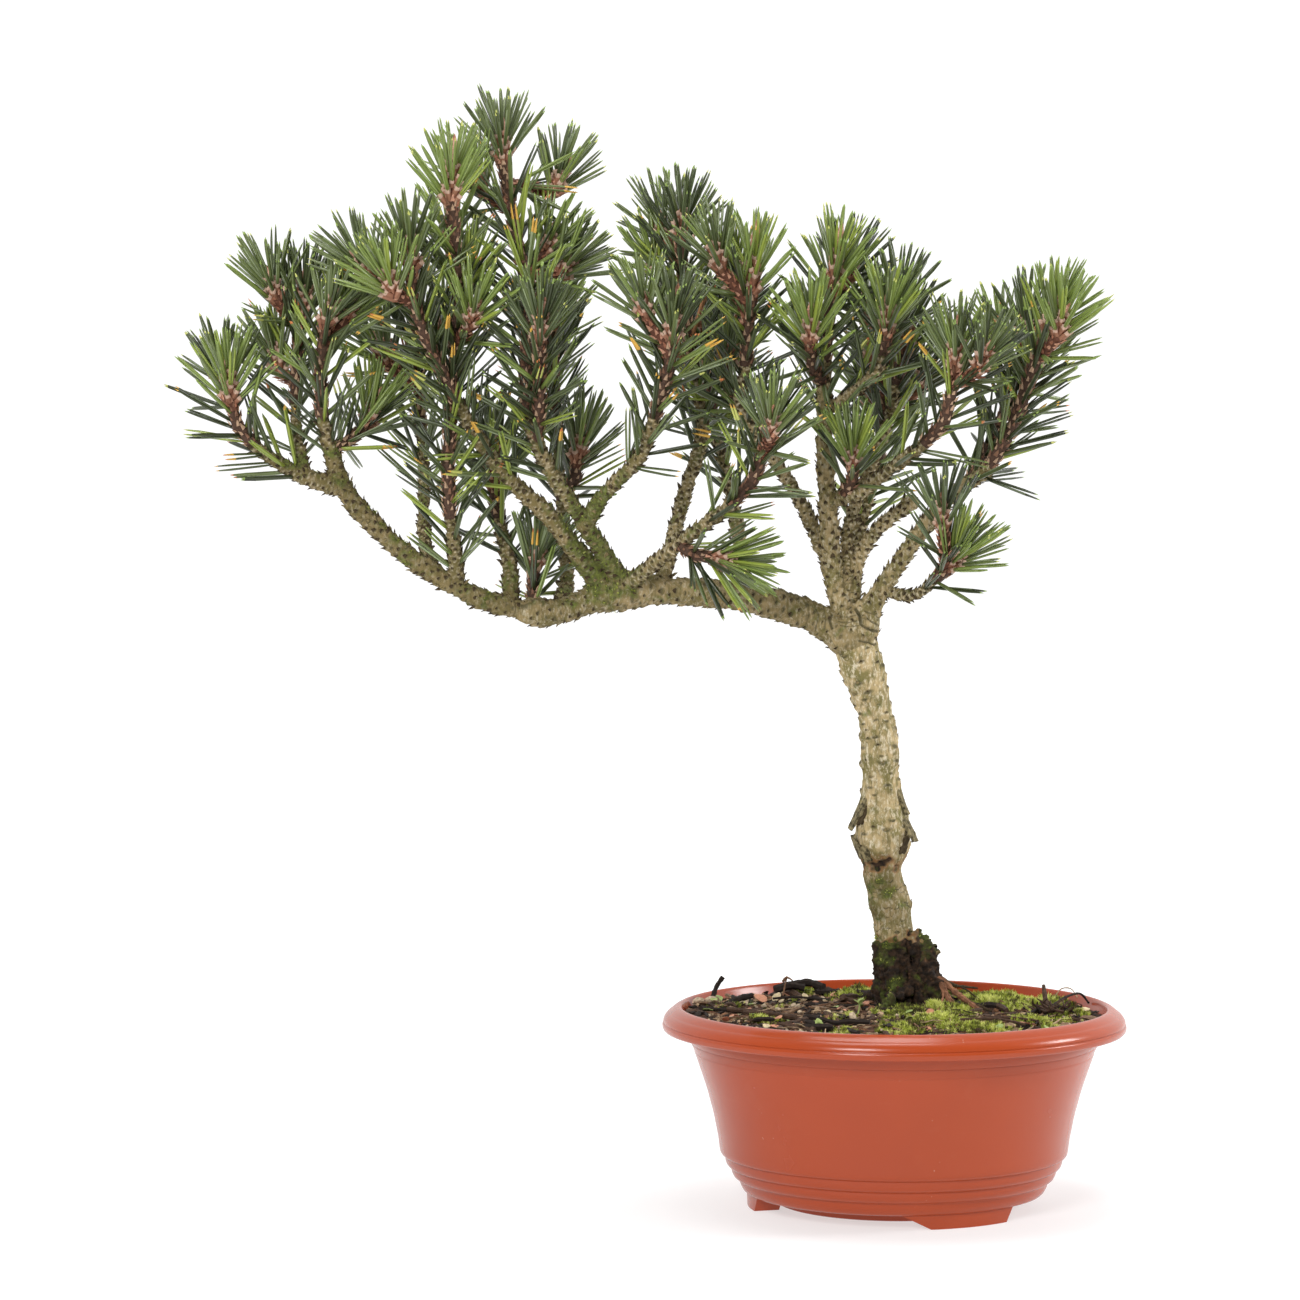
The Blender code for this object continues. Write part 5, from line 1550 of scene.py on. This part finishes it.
def makeWood():
    finish = barkFinish()
    fine = list(bark["fine"])
    limbs = [name for name in wood if name not in fine]
    trunkSkin = growWood("trunkAndBough", fine, roots, bark["fineVoxel"])
    dressWood(trunkSkin, fine)
    trunkSkin.data.materials.append(finish)
    limbSkin = growWood("limbs", limbs, (), bark["limbVoxel"])
    dressWood(limbSkin, limbs)
    limbSkin.data.materials.append(finish)
    heap = Heap()
    onTrunk, onLimbs = bark["sprigs"]
    mossOnBark(trunkSkin, heap, 4, onTrunk)
    mossOnBark(limbSkin, heap, 4, onLimbs)
    scatterFlakes(list(wood), heap, 0)
    addFlaps(heap, 2)
    for course, (low, high), tint in strands:
        line, shares = smoothCourse(course, 1.6 * mm)
        rng = random.Random(tint)
        radii = [(low + (high - low) * t) * rng.uniform(0.8, 1.2) * mm for t in shares]
        tubeInto(heap, line, radii, 7, tint)
    boughCut, forkCut, farCut, farRoot = bark["cuts"]
    farLimbs = [name for name in limbs if wood[name]["course"][0][0] < farRoot]
    nearLimbs = [name for name in limbs if name not in farLimbs]
    pieces = splitSkin(trunkSkin, (
        ("leftBough", lambda centre: centre.x < boughCut * mm and centre.z > 270 * mm),
        ("forks", lambda centre: centre.z > forkCut * mm)))
    pieces += splitSkin(limbSkin, (("limbsLeft", lambda centre: centre.x < farCut * mm),))
    nodes = (["trunk"], ["bough_left_inner", "bough_left_outer"], ["limb_upright", "limb_right"], nearLimbs,
             farLimbs)
    for piece, replaced in zip(pieces, nodes):
        finishPiece(piece, replaced)
    materials = [plainFinish("flakePale", (0.25, 0.195, 0.09), 0.9, 0.2, 0.5),
                 plainFinish("flakeDark", (0.075, 0.052, 0.026), 0.9, 0.2, 0.5),
                 plainFinish("peelingBark", (0.28, 0.23, 0.12), 0.9, 0.2, 0.85, 420),
                 plainFinish("redRoot", (0.30, 0.135, 0.070), 0.85, 0.25, 0.6, 300)] + mossColours
    piece = heap.make("barkScales", materials, smoothly=False)
    finishPiece(piece)


makeWood()
print("trunk and boughs are grown")


# foliage: the masses of the model in mm. stem is its course, bud the tip of the shoot that leads it on,
# forked what else leads off it, from foot to bud, and more how many shoots the rule adds

masses = {
    "needles_h": {"stem": ((-228, -23, 356), (-229, -26, 381), (-227, -24, 416), (-224, -22, 470),
        (-227, -30, 517)), "bud": (-225, -32, 551), "forked": (((-221, -14, 472), (-219, -10, 492)),),
        "more": 2},
    "needles_i": {"stem": ((-189, -27, 409), (-189, -26, 440), (-188, -12, 470), (-196, 2, 505),
        (-202, 12, 540)), "bud": (-203, 14, 565), "forked": (((-176, 22, 524), (-167, 28, 547)),
        ((-174, 4, 480), (-162, 8, 495))), "more": 2},
    "needles_a": {"stem": ((-328, -22, 394), (-336, -25, 403), (-340, -27, 416)), "bud": (-341, -30, 440),
        "more": 1},
    "needles_b": {"stem": ((-309, 4, 414), (-309, 10, 438), (-306, 14, 462)), "bud": (-304, 16, 488),
        "forked": (((-318, 10, 431), (-324, 12, 453)),), "more": 1},
    "needles_c": {"stem": ((-293, -20, 406), (-294, -23, 430), (-291, -28, 454)), "bud": (-284, -30, 473),
        "more": 1},
    "needles_e": {"stem": ((-289, -17, 391), (-280, -4, 396), (-272, 10, 404)), "bud": (-265, 16, 424),
        "more": 0},
    "needles_f": {"stem": ((-224, -30, 415), (-236, -36, 440), (-246, -40, 466), (-247, -38, 483)),
        "bud": (-248, -38, 508), "forked": (((-255, -50, 469), (-262, -56, 489)),), "more": 1},
    "needles_l": {"stem": ((-184, -25, 395), (-182, -36, 418), (-182, -44, 446)), "bud": (-179, -46, 468),
        "more": 0},
    "needles_n": {"stem": ((-205, 22, 354), (-208, 34, 372)), "bud": (-208, 40, 394), "more": 1},
    "needles_spur": {"stem": ((-186, -6, 309), (-187, 4, 320), (-186, 8, 330)), "bud": (-182, 10, 344),
        "more": 0},
    "needles_ee": {"stem": ((-173, 56, 365), (-166, 46, 376), (-164, 42, 386)), "bud": (-161, 42, 408),
        "more": 0},
    "needles_o": {"stem": ((-124, -34, 407), (-117, -40, 432), (-115, -44, 446)), "bud": (-112, -48, 475),
        "more": 1},
    "needles_q": {"stem": ((-103, 35, 430), (-108, 36, 466), (-110, 36, 500)), "bud": (-107, 38, 527),
        "more": 2},
    "needles_r": {"stem": ((-77, 4, 434), (-74, 2, 473)), "bud": (-71, 2, 510), "more": 2},
    "needles_s": {"stem": ((-78, 7, 409), (-85, 24, 420), (-87, 36, 432)), "bud": (-83, 40, 454),
        "more": 0},
    "needles_t": {"stem": ((-36, 10, 436), (-34, 10, 459), (-32, 10, 475)), "bud": (-27, 10, 509),
        "more": 1},
    "needles_u": {"stem": ((-36, 10, 425), (-43, -4, 434), (-44, -14, 446)), "bud": (-44, -20, 468),
        "more": 0},
    "needles_v": {"stem": ((-6, 0, 440), (-5, -3, 452)), "bud": (-4, -6, 474), "more": 1},
    "needles_w": {"stem": ((14, -13, 394), (24, -19, 405), (29, -24, 432)), "bud": (30, -26, 460),
        "more": 1},
    "needles_dd": {"stem": ((-26, 8, 367), (-22, 0, 376), (-22, -4, 382)), "bud": (-23, -8, 398),
        "more": 0},
    "needles_x": {"stem": ((48, 4, 381), (60, 2, 402), (70, 0, 430), (78, -2, 452)), "bud": (88, -4, 480),
        "more": 2},
    "needles_xx": {"stem": ((40, 5, 376), (51, 18, 396), (64, 26, 424), (69, 28, 447)),
        "bud": (71, 32, 475), "more": 1},
    "needles_y": {"stem": ((-86, -37, 363), (-75, -43, 374), (-67, -49, 396)), "bud": (-61, -52, 420),
        "more": 1},
    "needles_yy": {"stem": ((-112, -24, 343), (-104, -32, 338), (-94, -36, 336)), "bud": (-78, -40, 333),
        "more": 0},
    "needles_aa": {"stem": ((3, 46, 425), (8, 46, 446)), "bud": (10, 48, 470), "more": 1},
    "needles_cc": {"stem": ((21, -6, 325), (27, -12, 331)), "bud": (36, -17, 342), "more": 1},
    "needles_back_a": {"stem": ((-4, 92, 384), (0, 97, 408), (2, 98, 428)), "bud": (4, 100, 452),
        "more": 3},
    "needles_back_b": {"stem": ((-93, 88, 408), (-97, 92, 432), (-98, 93, 452)), "bud": (-98, 94, 478),
        "more": 3},
    "needles_back_c": {"stem": ((-176, 76, 408), (-178, 80, 436), (-179, 81, 456)),
        "bud": (-178, 82, 482), "more": 3},
    "needles_back_d": {"stem": ((-247, 52, 404), (-249, 56, 430), (-250, 57, 446)),
        "bud": (-249, 58, 470), "more": 3},
}

foliage = {
    "regions": {  # which masses share one piece of needles
        "Left": ("needles_a", "needles_b", "needles_c", "needles_e", "needles_f", "needles_h",
                 "needles_back_d"),
        "Middle": ("needles_i", "needles_l", "needles_n", "needles_spur", "needles_ee", "needles_back_c",
                   "needles_o"),
        "Centre": ("needles_q", "needles_r", "needles_s", "needles_y", "needles_yy", "needles_back_b",
                   "needles_t", "needles_u"),
        "Right": ("needles_v", "needles_w", "needles_dd", "needles_x", "needles_xx", "needles_aa",
                  "needles_cc", "needles_back_a"),
    },
    "sideShoot": (16, 24),  # reach of a shoot that the rule adds, in mm
    "sideLean": (42, 60),  # degrees off the stem
    "sideBud": 20,
    "forks": (0.3, 0.8),
    "length": 35,  # of a young needle, in mm
    "spread": 0.08,
    "width": 2.12,
    "leaderPairs": 25,
    "sidePairs": 18,
    "rosette": (-0.15, 0.38),  # from the foot of the needles towards the tip of the bud
    "lean": (47, 15),  # off the shoot, lowest and highest
    "oldLean": (33, 58),
    "oldLength": 1.12,
    "oldStep": 1.5,  # mm of stem for each old pair
    "bare": 0.84,  # from this share of the stem up it carries no old needles
    "pairAngle": 1.3,  # degrees between each needle and its pair's middle
    "bow": 0.045,  # how much a needle bows, against its length
    "sheath": (7.0, 9.5),  # mm, on young needles
    "oldSheath": (2.2, 3.6),
    "stemRadii": (3.2, 3.0),  # at the foot and at the tip, in mm
    "shootRadii": (3.1, 2.6),
    "limbStep": 2.6,  # mm of limb for each old pair
    "bract": (0.62, 2.4, 4.2),  # mm of shoot for each, and from how long to how long
    "budWidth": (4.6, 5.5),
    # outer and inner faces of the needles of a spray
    "greens": ((0.030, 0.040, 0.012), (0.064, 0.084, 0.026), (0.118, 0.152, 0.046), (0.175, 0.235, 0.050),
               (0.255, 0.320, 0.048)),
    "inner": ((0.120, 0.150, 0.076), (0.195, 0.240, 0.124), (0.285, 0.340, 0.185), (0.310, 0.385, 0.140),
              (0.340, 0.410, 0.110)),
    "youngGreens": (0, 1, 1, 2, 2, 2, 3, 3),  # the green of a spray is drawn from these
    "oldGreens": (0, 0, 1, 1, 2, 4),
    "tips": ((0.22, 0.31, 0.07), (0.48, 0.50, 0.13), (0.62, 0.36, 0.06), (0.50, 0.17, 0.05)),
    "dry": (0.40, 0.19, 0.09),
}

# limbs that still carry old needles below their masses: from which share of their length, and the
# piece of needles that these go into
leafyLimbs = {
    "limb_m": (0.15, "Left"), "limb_n": (0.5, "Middle"), "limb_f": (0.55, "Left"), "limb_l": (0.6, "Middle"),
    "limb_p": (0.5, "Middle"), "limb_q": (0.6, "Centre"), "limb_z": (0.6, "Centre"),
    "limb_upright": (0.72, "Centre"), "limb_aa": (0.6, "Right"), "limb_b": (0.2, "Left"),
    "limb_c": (0.3, "Left"), "limb_a": (0.4, "Left"), "limb_v": (0.4, "Right"), "limb_w": (0.6, "Right"),
    "limb_right": (0.85, "Right"), "limb_y": (0.75, "Centre"), "limb_cc": (0.6, "Right"),
    "limb_back_a": (0.6, "Right"), "limb_back_b": (0.6, "Centre"), "limb_back_c": (0.6, "Middle"),
    "limb_back_d": (0.6, "Left"),
}


def needleShape():
    # one needle along z, one unit wide and long: a flat inner face and a rounded back. its faces
    # are in four parts: back, inner face, end and tip
    rings = []
    for z, wide in ((0, 0.74), (0.25, 1.0), (0.74, 0.95), (0.93, 0.58)):
        half = wide / 2
        rings.append([(-half, 0, z), (0, -0.10 * wide, z), (half, 0, z), (0, 0.52 * wide, z)])
    rings.append([(0, 0.08, 1.0)])
    points, faces, levels = barShape(rings)
    parts = []
    for face, level in zip(faces, levels):
        inner = max(points[corner][1] for corner in face) < 0.01
        parts.append(3 if level == 3 else 2 if level == 2 else 1 if inner else 0)
    return points, faces, parts


def sheathShape():
    # the papery sleeve at the foot of a pair, one unit long, with a frayed paler end
    rings = [[(-0.42, -0.36, 0), (0.42, -0.36, 0), (0.42, 0.36, 0), (-0.42, 0.36, 0)],
             [(-0.62, -0.52, 0.25), (0.62, -0.52, 0.25), (0.62, 0.52, 0.25), (-0.62, 0.52, 0.25)],
             [(-0.60, -0.50, 0.8), (0.60, -0.50, 0.8), (0.60, 0.50, 0.8), (-0.60, 0.50, 0.8)],
             [(-0.70, -0.56, 1.0), (0.66, -0.44, 1.08), (0.70, 0.56, 0.98), (-0.66, 0.44, 1.1)]]
    points, faces, levels = barShape(rings)
    return points, faces, [1 if level == 2 else 0 for level in levels]


def budShape():
    # a pointed bud of overlapping scales, one unit long
    rings = []
    sides = 7
    steps = ((0.0, 0.62), (0.1, 0.95), (0.12, 0.86), (0.26, 1.06), (0.28, 0.95), (0.42, 1.0), (0.44, 0.88),
             (0.58, 0.8), (0.6, 0.68), (0.76, 0.5), (0.9, 0.26))
    for level, (z, wide) in enumerate(steps):
        turns = [2 * math.pi * j / sides + 0.45 * (level // 2) for j in range(sides)]
        rings.append([(0.5 * wide * math.cos(turn), 0.5 * wide * math.sin(turn), z) for turn in turns])
    rings.append([(0, 0, 1.0)])
    points, faces, parts = barShape(rings)
    return points, faces, [1 if part in (0, 2, 4, 6, 8) else 0 for part in parts]


def bractShape():
    # a short dry scale leaf on a shoot
    rings = [[(-0.5, 0.0, 0.0), (0.5, 0.0, 0.0), (0.3, 0.28, 0.05), (-0.3, 0.28, 0.05)],
             [(-0.3, 0.22, 0.55), (0.3, 0.22, 0.55), (0.18, 0.42, 0.55), (-0.18, 0.42, 0.55)],
             [(0.0, 0.62, 1.0)]]
    return barShape(rings)


def shootsOf(plan, rng):
    # the stem, its leading shoots and those that the rule adds, as in the model
    stem, shares = smoothCourse(plan["stem"], 12 * mm)
    leaders = [[between(stem[-2], stem[-1], 0.6), stem[-1], Vector(plan["bud"]) * mm]]
    for foot, bud in plan.get("forked", ()):
        foot, bud = Vector(foot) * mm, Vector(bud) * mm
        leaders.append([min(stem[1:-1], key=lambda point: (point - foot).length), foot, bud])
    others = []
    low, high = foliage["forks"]
    for k in range(plan["more"]):
        start = placeOn(stem, shares, low + (high - low) * (k + 1) / plan["more"])
        axis = (stem[-1] - stem[0]).normalized()
        lean = math.radians(rng.uniform(*foliage["sideLean"]))
        heading = around(axis, lean, rng.uniform(0, 2 * math.pi) + k * goldenAngle)
        foot = start + heading * rng.uniform(*foliage["sideShoot"]) * mm
        others.append([start, foot, foot + (heading + up).normalized() * foliage["sideBud"] * mm])
    return stem, shares, leaders, others


class Spray:
    # what one region's needles are gathered in
    def __init__(self):
        self.needles = newRows(6)
        self.sheaths = newRows()

    def pair(self, rng, root, along, length, tints, young):
        across, normal = axesFor(along, rng.uniform(0, 2 * math.pi))
        opening = math.radians(foliage["pairAngle"]) * rng.uniform(0.4, 1.6)
        width = foliage["width"] * rng.uniform(0.88, 1.1) * mm
        bow = (0.35 * up * rng.uniform(-0.6, 0.6) + normal * rng.uniform(-1, 1)) * foliage["bow"] * length
        sleeve = rng.uniform(*foliage["sheath" if young else "oldSheath"]) * mm
        for side in (1, -1):
            heading = (along + side * normal * math.tan(opening)).normalized()
            back = side * (normal - heading * normal.dot(heading)).normalized()
            own = length * rng.uniform(0.965, 1.02) - 0.6 * sleeve
            foot = root + along * 0.6 * sleeve + side * normal * 0.16 * mm
            lay(self.needles, foot, heading.cross(back) * -width, back * width, heading * own, tints, bow)
        lay(self.sheaths, root, across * (2.0 if young else 1.6) * mm, normal * (2.3 if young else 1.9) * mm,
            along * sleeve, [2, 3] if young else [0, 1])


def growNeedles(rng, spray, root, axis, lean, turn, length, sprayGreen, young):
    # one pair of needles, coloured as its spray is with a little of its neighbours' colours
    kinds = len(foliage["greens"])
    green = sprayGreen
    chance = rng.random()
    if chance < 0.18:
        green = max(0, green - 1)
    elif chance < 0.32:
        green = min(kinds - 1, green + 1)
    end = green
    tip = 2 * kinds + (0 if rng.random() < 0.75 else 1)
    if not young and rng.random() < 0.26:
        tip = 2 * kinds + rng.choice((2, 2, 3))
        end = 2 * kinds + rng.choice((1, 2, 2)) if rng.random() < 0.3 else end
    tints = [green, kinds + green, end, tip]
    if rng.random() < (0.0005 if young else 0.005):
        tints = [2 * kinds + 4] * 4
    spray.pair(rng, root, around(axis, lean, turn), length * mm, tints, young)


def oldLength(rng):
    full = foliage["length"] * foliage["oldLength"]
    return full * (1 + foliage["spread"] * rng.uniform(-1, 1)) * rng.uniform(0.85, 1)


def growMass(name, number, spray, twigs):
    plan = masses[name]
    rng = random.Random(crownSeed * 100 + number)
    stem, shares, leaders, others = shootsOf(plan, rng)
    rng = random.Random(crownSeed * 1000 + number)
    young = foliage["length"]
    low, high = foliage["rosette"]
    shoots = [(shoot, foliage["leaderPairs"]) for shoot in leaders]
    shoots += [(shoot, foliage["sidePairs"]) for shoot in others]
    for (start, foot, bud), pairs in shoots:
        axis = (bud - foot).normalized()
        first = rng.uniform(0, 2 * math.pi)
        sprayGreen = rng.choice(foliage["youngGreens"])
        for k in range(pairs):
            t = (k + 0.5) / pairs
            lean = foliage["lean"][0] + (foliage["lean"][1] - foliage["lean"][0]) * t ** 0.85
            lean = math.radians(lean + rng.uniform(-7, 7))
            length = young * (1.03 - 0.14 * t + foliage["spread"] * rng.uniform(-1, 1))
            root = between(foot, bud, low + (high - low) * t)
            growNeedles(rng, spray, root, axis, lean, first + k * goldenAngle, length, sprayGreen, True)
        below = foot - start
        count = int(0.4 * below.length / (foliage["oldStep"] * mm))
        for k in range(count):
            root = between(start, foot, 0.4 * (k + 0.5) / count)
            lean = math.radians(rng.uniform(*foliage["oldLean"]) - 6)
            length = young * (1.02 + foliage["spread"] * rng.uniform(-1, 1))
            turn = first + 2 + k * goldenAngle
            growNeedles(rng, spray, root, below.normalized(), lean, turn, length, sprayGreen, False)
        course = [start, between(start, foot, 0.5), foot, between(foot, bud, 0.6)]
        growTwig(rng, twigs, course, foliage["shootRadii"], True)
        growBuds(rng, twigs, between(foot, bud, 0.56), bud)
    length = courseLength(stem)
    first = rng.uniform(0, 2 * math.pi)
    count = int(length * foliage["bare"] / (foliage["oldStep"] * mm))
    for k in range(count):
        share = 0.02 + (foliage["bare"] - 0.02) * (k + 0.5) / count
        root = placeOn(stem, shares, share)
        axis = (placeOn(stem, shares, min(0.999, share + 0.02)) - root).normalized()
        if rng.random() < 0.04 + 0.22 * (1 - share):
            continue
        lean = math.radians(rng.uniform(*foliage["oldLean"]))
        own = oldLength(rng)
        sprayGreen = rng.choice(foliage["oldGreens"])
        growNeedles(rng, spray, root, axis, lean, first + k * goldenAngle, own, sprayGreen, False)
    growTwig(rng, twigs, stem, foliage["stemRadii"], False)


def growTwig(rng, twigs, course, radii, young):
    # a shoot: a lumpy tube set with dry scale leaves
    line = [course[0]]
    for a, b in zip(course, course[1:]):
        count = max(1, round((b - a).length / (2 * mm)))
        line += [between(a, b, (k + 1) / count) for k in range(count)]
    thick = []
    for k in range(len(line)):
        t = k / (len(line) - 1)
        thick.append((radii[0] + (radii[1] - radii[0]) * t) * (1 + 0.1 * rng.uniform(-1, 1)) * mm)
    tubeInto(twigs["heap"], line, thick, 8, 1 if young else 0)
    shares = sharesOf(line)
    step, shortest, longest = foliage["bract"]
    count = int(courseLength(line) / (step * mm))
    for k in range(count):
        share = (k + 0.5) / count
        j = max(i for i in range(len(line) - 1) if shares[i] <= share)
        heading = (line[j + 1] - line[j]).normalized()
        out = around(heading, math.pi / 2, k * goldenAngle + rng.uniform(-0.2, 0.2))
        place = between(line[j], line[j + 1], (share - shares[j]) / (shares[j + 1] - shares[j]))
        radius = thick[j]
        size = rng.uniform(shortest, longest)
        lay(twigs["bracts"], place + out * radius * 0.9, heading.cross(out) * size * 0.6 * mm,
            out * size * rng.uniform(0.5, 1.0) * mm, heading * size * mm,
            2 + (rng.random() < 0.5) + (0 if young else 2))


def growBuds(rng, twigs, foot, tip):
    # a leading bud and a few smaller ones round it
    axis = (tip - foot).normalized()
    length = (tip - foot).length
    for k in range(1 + rng.randrange(1, 4)):
        if k == 0:
            along, size, root = axis, length, foot
        else:
            along = around(axis, math.radians(rng.uniform(12, 26)), k * 2.3 + rng.uniform(-0.3, 0.3))
            size, root = length * rng.uniform(0.35, 0.6), foot - axis * rng.uniform(0, 2) * mm
        across, normal = axesFor(along, rng.uniform(0, anyTurn))
        wide = rng.uniform(*foliage["budWidth"]) * (1 if k == 0 else 0.7)
        lay(twigs["buds"], root, across * wide * mm, normal * wide * mm, along * size, [6, 7])


def growLimbNeedles(limb, share, number, spray):
    # old needles that a limb still carries near its end
    rng = random.Random(crownSeed * 500 + number)
    line = woodLine(limb)[0]
    shares = sharesOf(line)
    count = int(courseLength(line) * (1 - share) / (foliage["limbStep"] * mm))
    for k in range(count):
        where = share + (0.98 - share) * (k + 0.5) / count
        root = placeOn(line, shares, where)
        axis = (placeOn(line, shares, min(0.999, where + 0.03)) - root).normalized()
        lean = math.radians(rng.uniform(*foliage["oldLean"]))
        own = oldLength(rng)
        sprayGreen = rng.choice(foliage["oldGreens"])
        growNeedles(rng, spray, root, axis, lean, k * goldenAngle, own, sprayGreen, False)


def makeFoliage():
    twigs = {"heap": Heap(), "bracts": newRows(), "buds": newRows()}
    numbers = {name: number for number, name in enumerate(masses)}
    # name, colours, roughness, specular
    paints = (("needleBack", "greens", 0.3, 0.55), ("needleInner", "inner", 0.45, 0.5),
              ("needleTip", "tips", 0.5, 0.4))
    greens = [Shading(f"{name}{k}", colour, *finish).material
              for name, key, *finish in paints for k, colour in enumerate(foliage[key])]
    greens.append(Shading("needleDry", foliage["dry"], 0.6, 0.3).material)
    sleeveColours = (("sleeveOld", (0.085, 0.052, 0.032)), ("sleeveOldEnd", (0.15, 0.105, 0.070)),
                     ("sleeveYoung", (0.32, 0.150, 0.090)), ("sleeveYoungEnd", (0.52, 0.35, 0.26)))
    sheaths = [Shading(name, colour, 0.7, 0.3).material for name, colour in sleeveColours]
    sleeves = Heap()
    for region, names in foliage["regions"].items():
        spray = Spray()
        for name in names:
            growMass(name, numbers[name], spray, twigs)
        for number, (limb, (share, owner)) in enumerate(leafyLimbs.items()):
            if owner == region:
                growLimbNeedles(limb, share, number, spray)
        heap = Heap()
        heap.copies(needleShape(), *spray.needles)
        finishPiece(heap.make("needles" + region, greens), names)
        sleeves.copies(sheathShape(), *spray.sheaths)
        print(f"{region}: {len(spray.needles[0])} needles")
    finishPiece(sleeves.make("needleSheaths", sheaths))
    twigs["heap"].copies(bractShape(), *twigs["bracts"])
    twigs["heap"].copies(budShape(), *twigs["buds"])
    colours = (("shootOld", (0.085, 0.045, 0.028)), ("shootYoung", (0.14, 0.055, 0.032)),
               ("bractRed", (0.62, 0.320, 0.210)), ("bractBrown", (0.34, 0.140, 0.080)),
               ("bractGrey", (0.52, 0.340, 0.220)), ("bractDark", (0.23, 0.115, 0.068)),
               ("budScale", (0.50, 0.230, 0.145)), ("budPale", (0.76, 0.44, 0.33)))
    materials = [plainFinish(name, colour, 0.75, 0.3, 0.35) for name, colour in colours]
    finishPiece(twigs["heap"].make("shootsAndBuds", materials, smoothly=False))


makeFoliage()
print("foliage is grown")
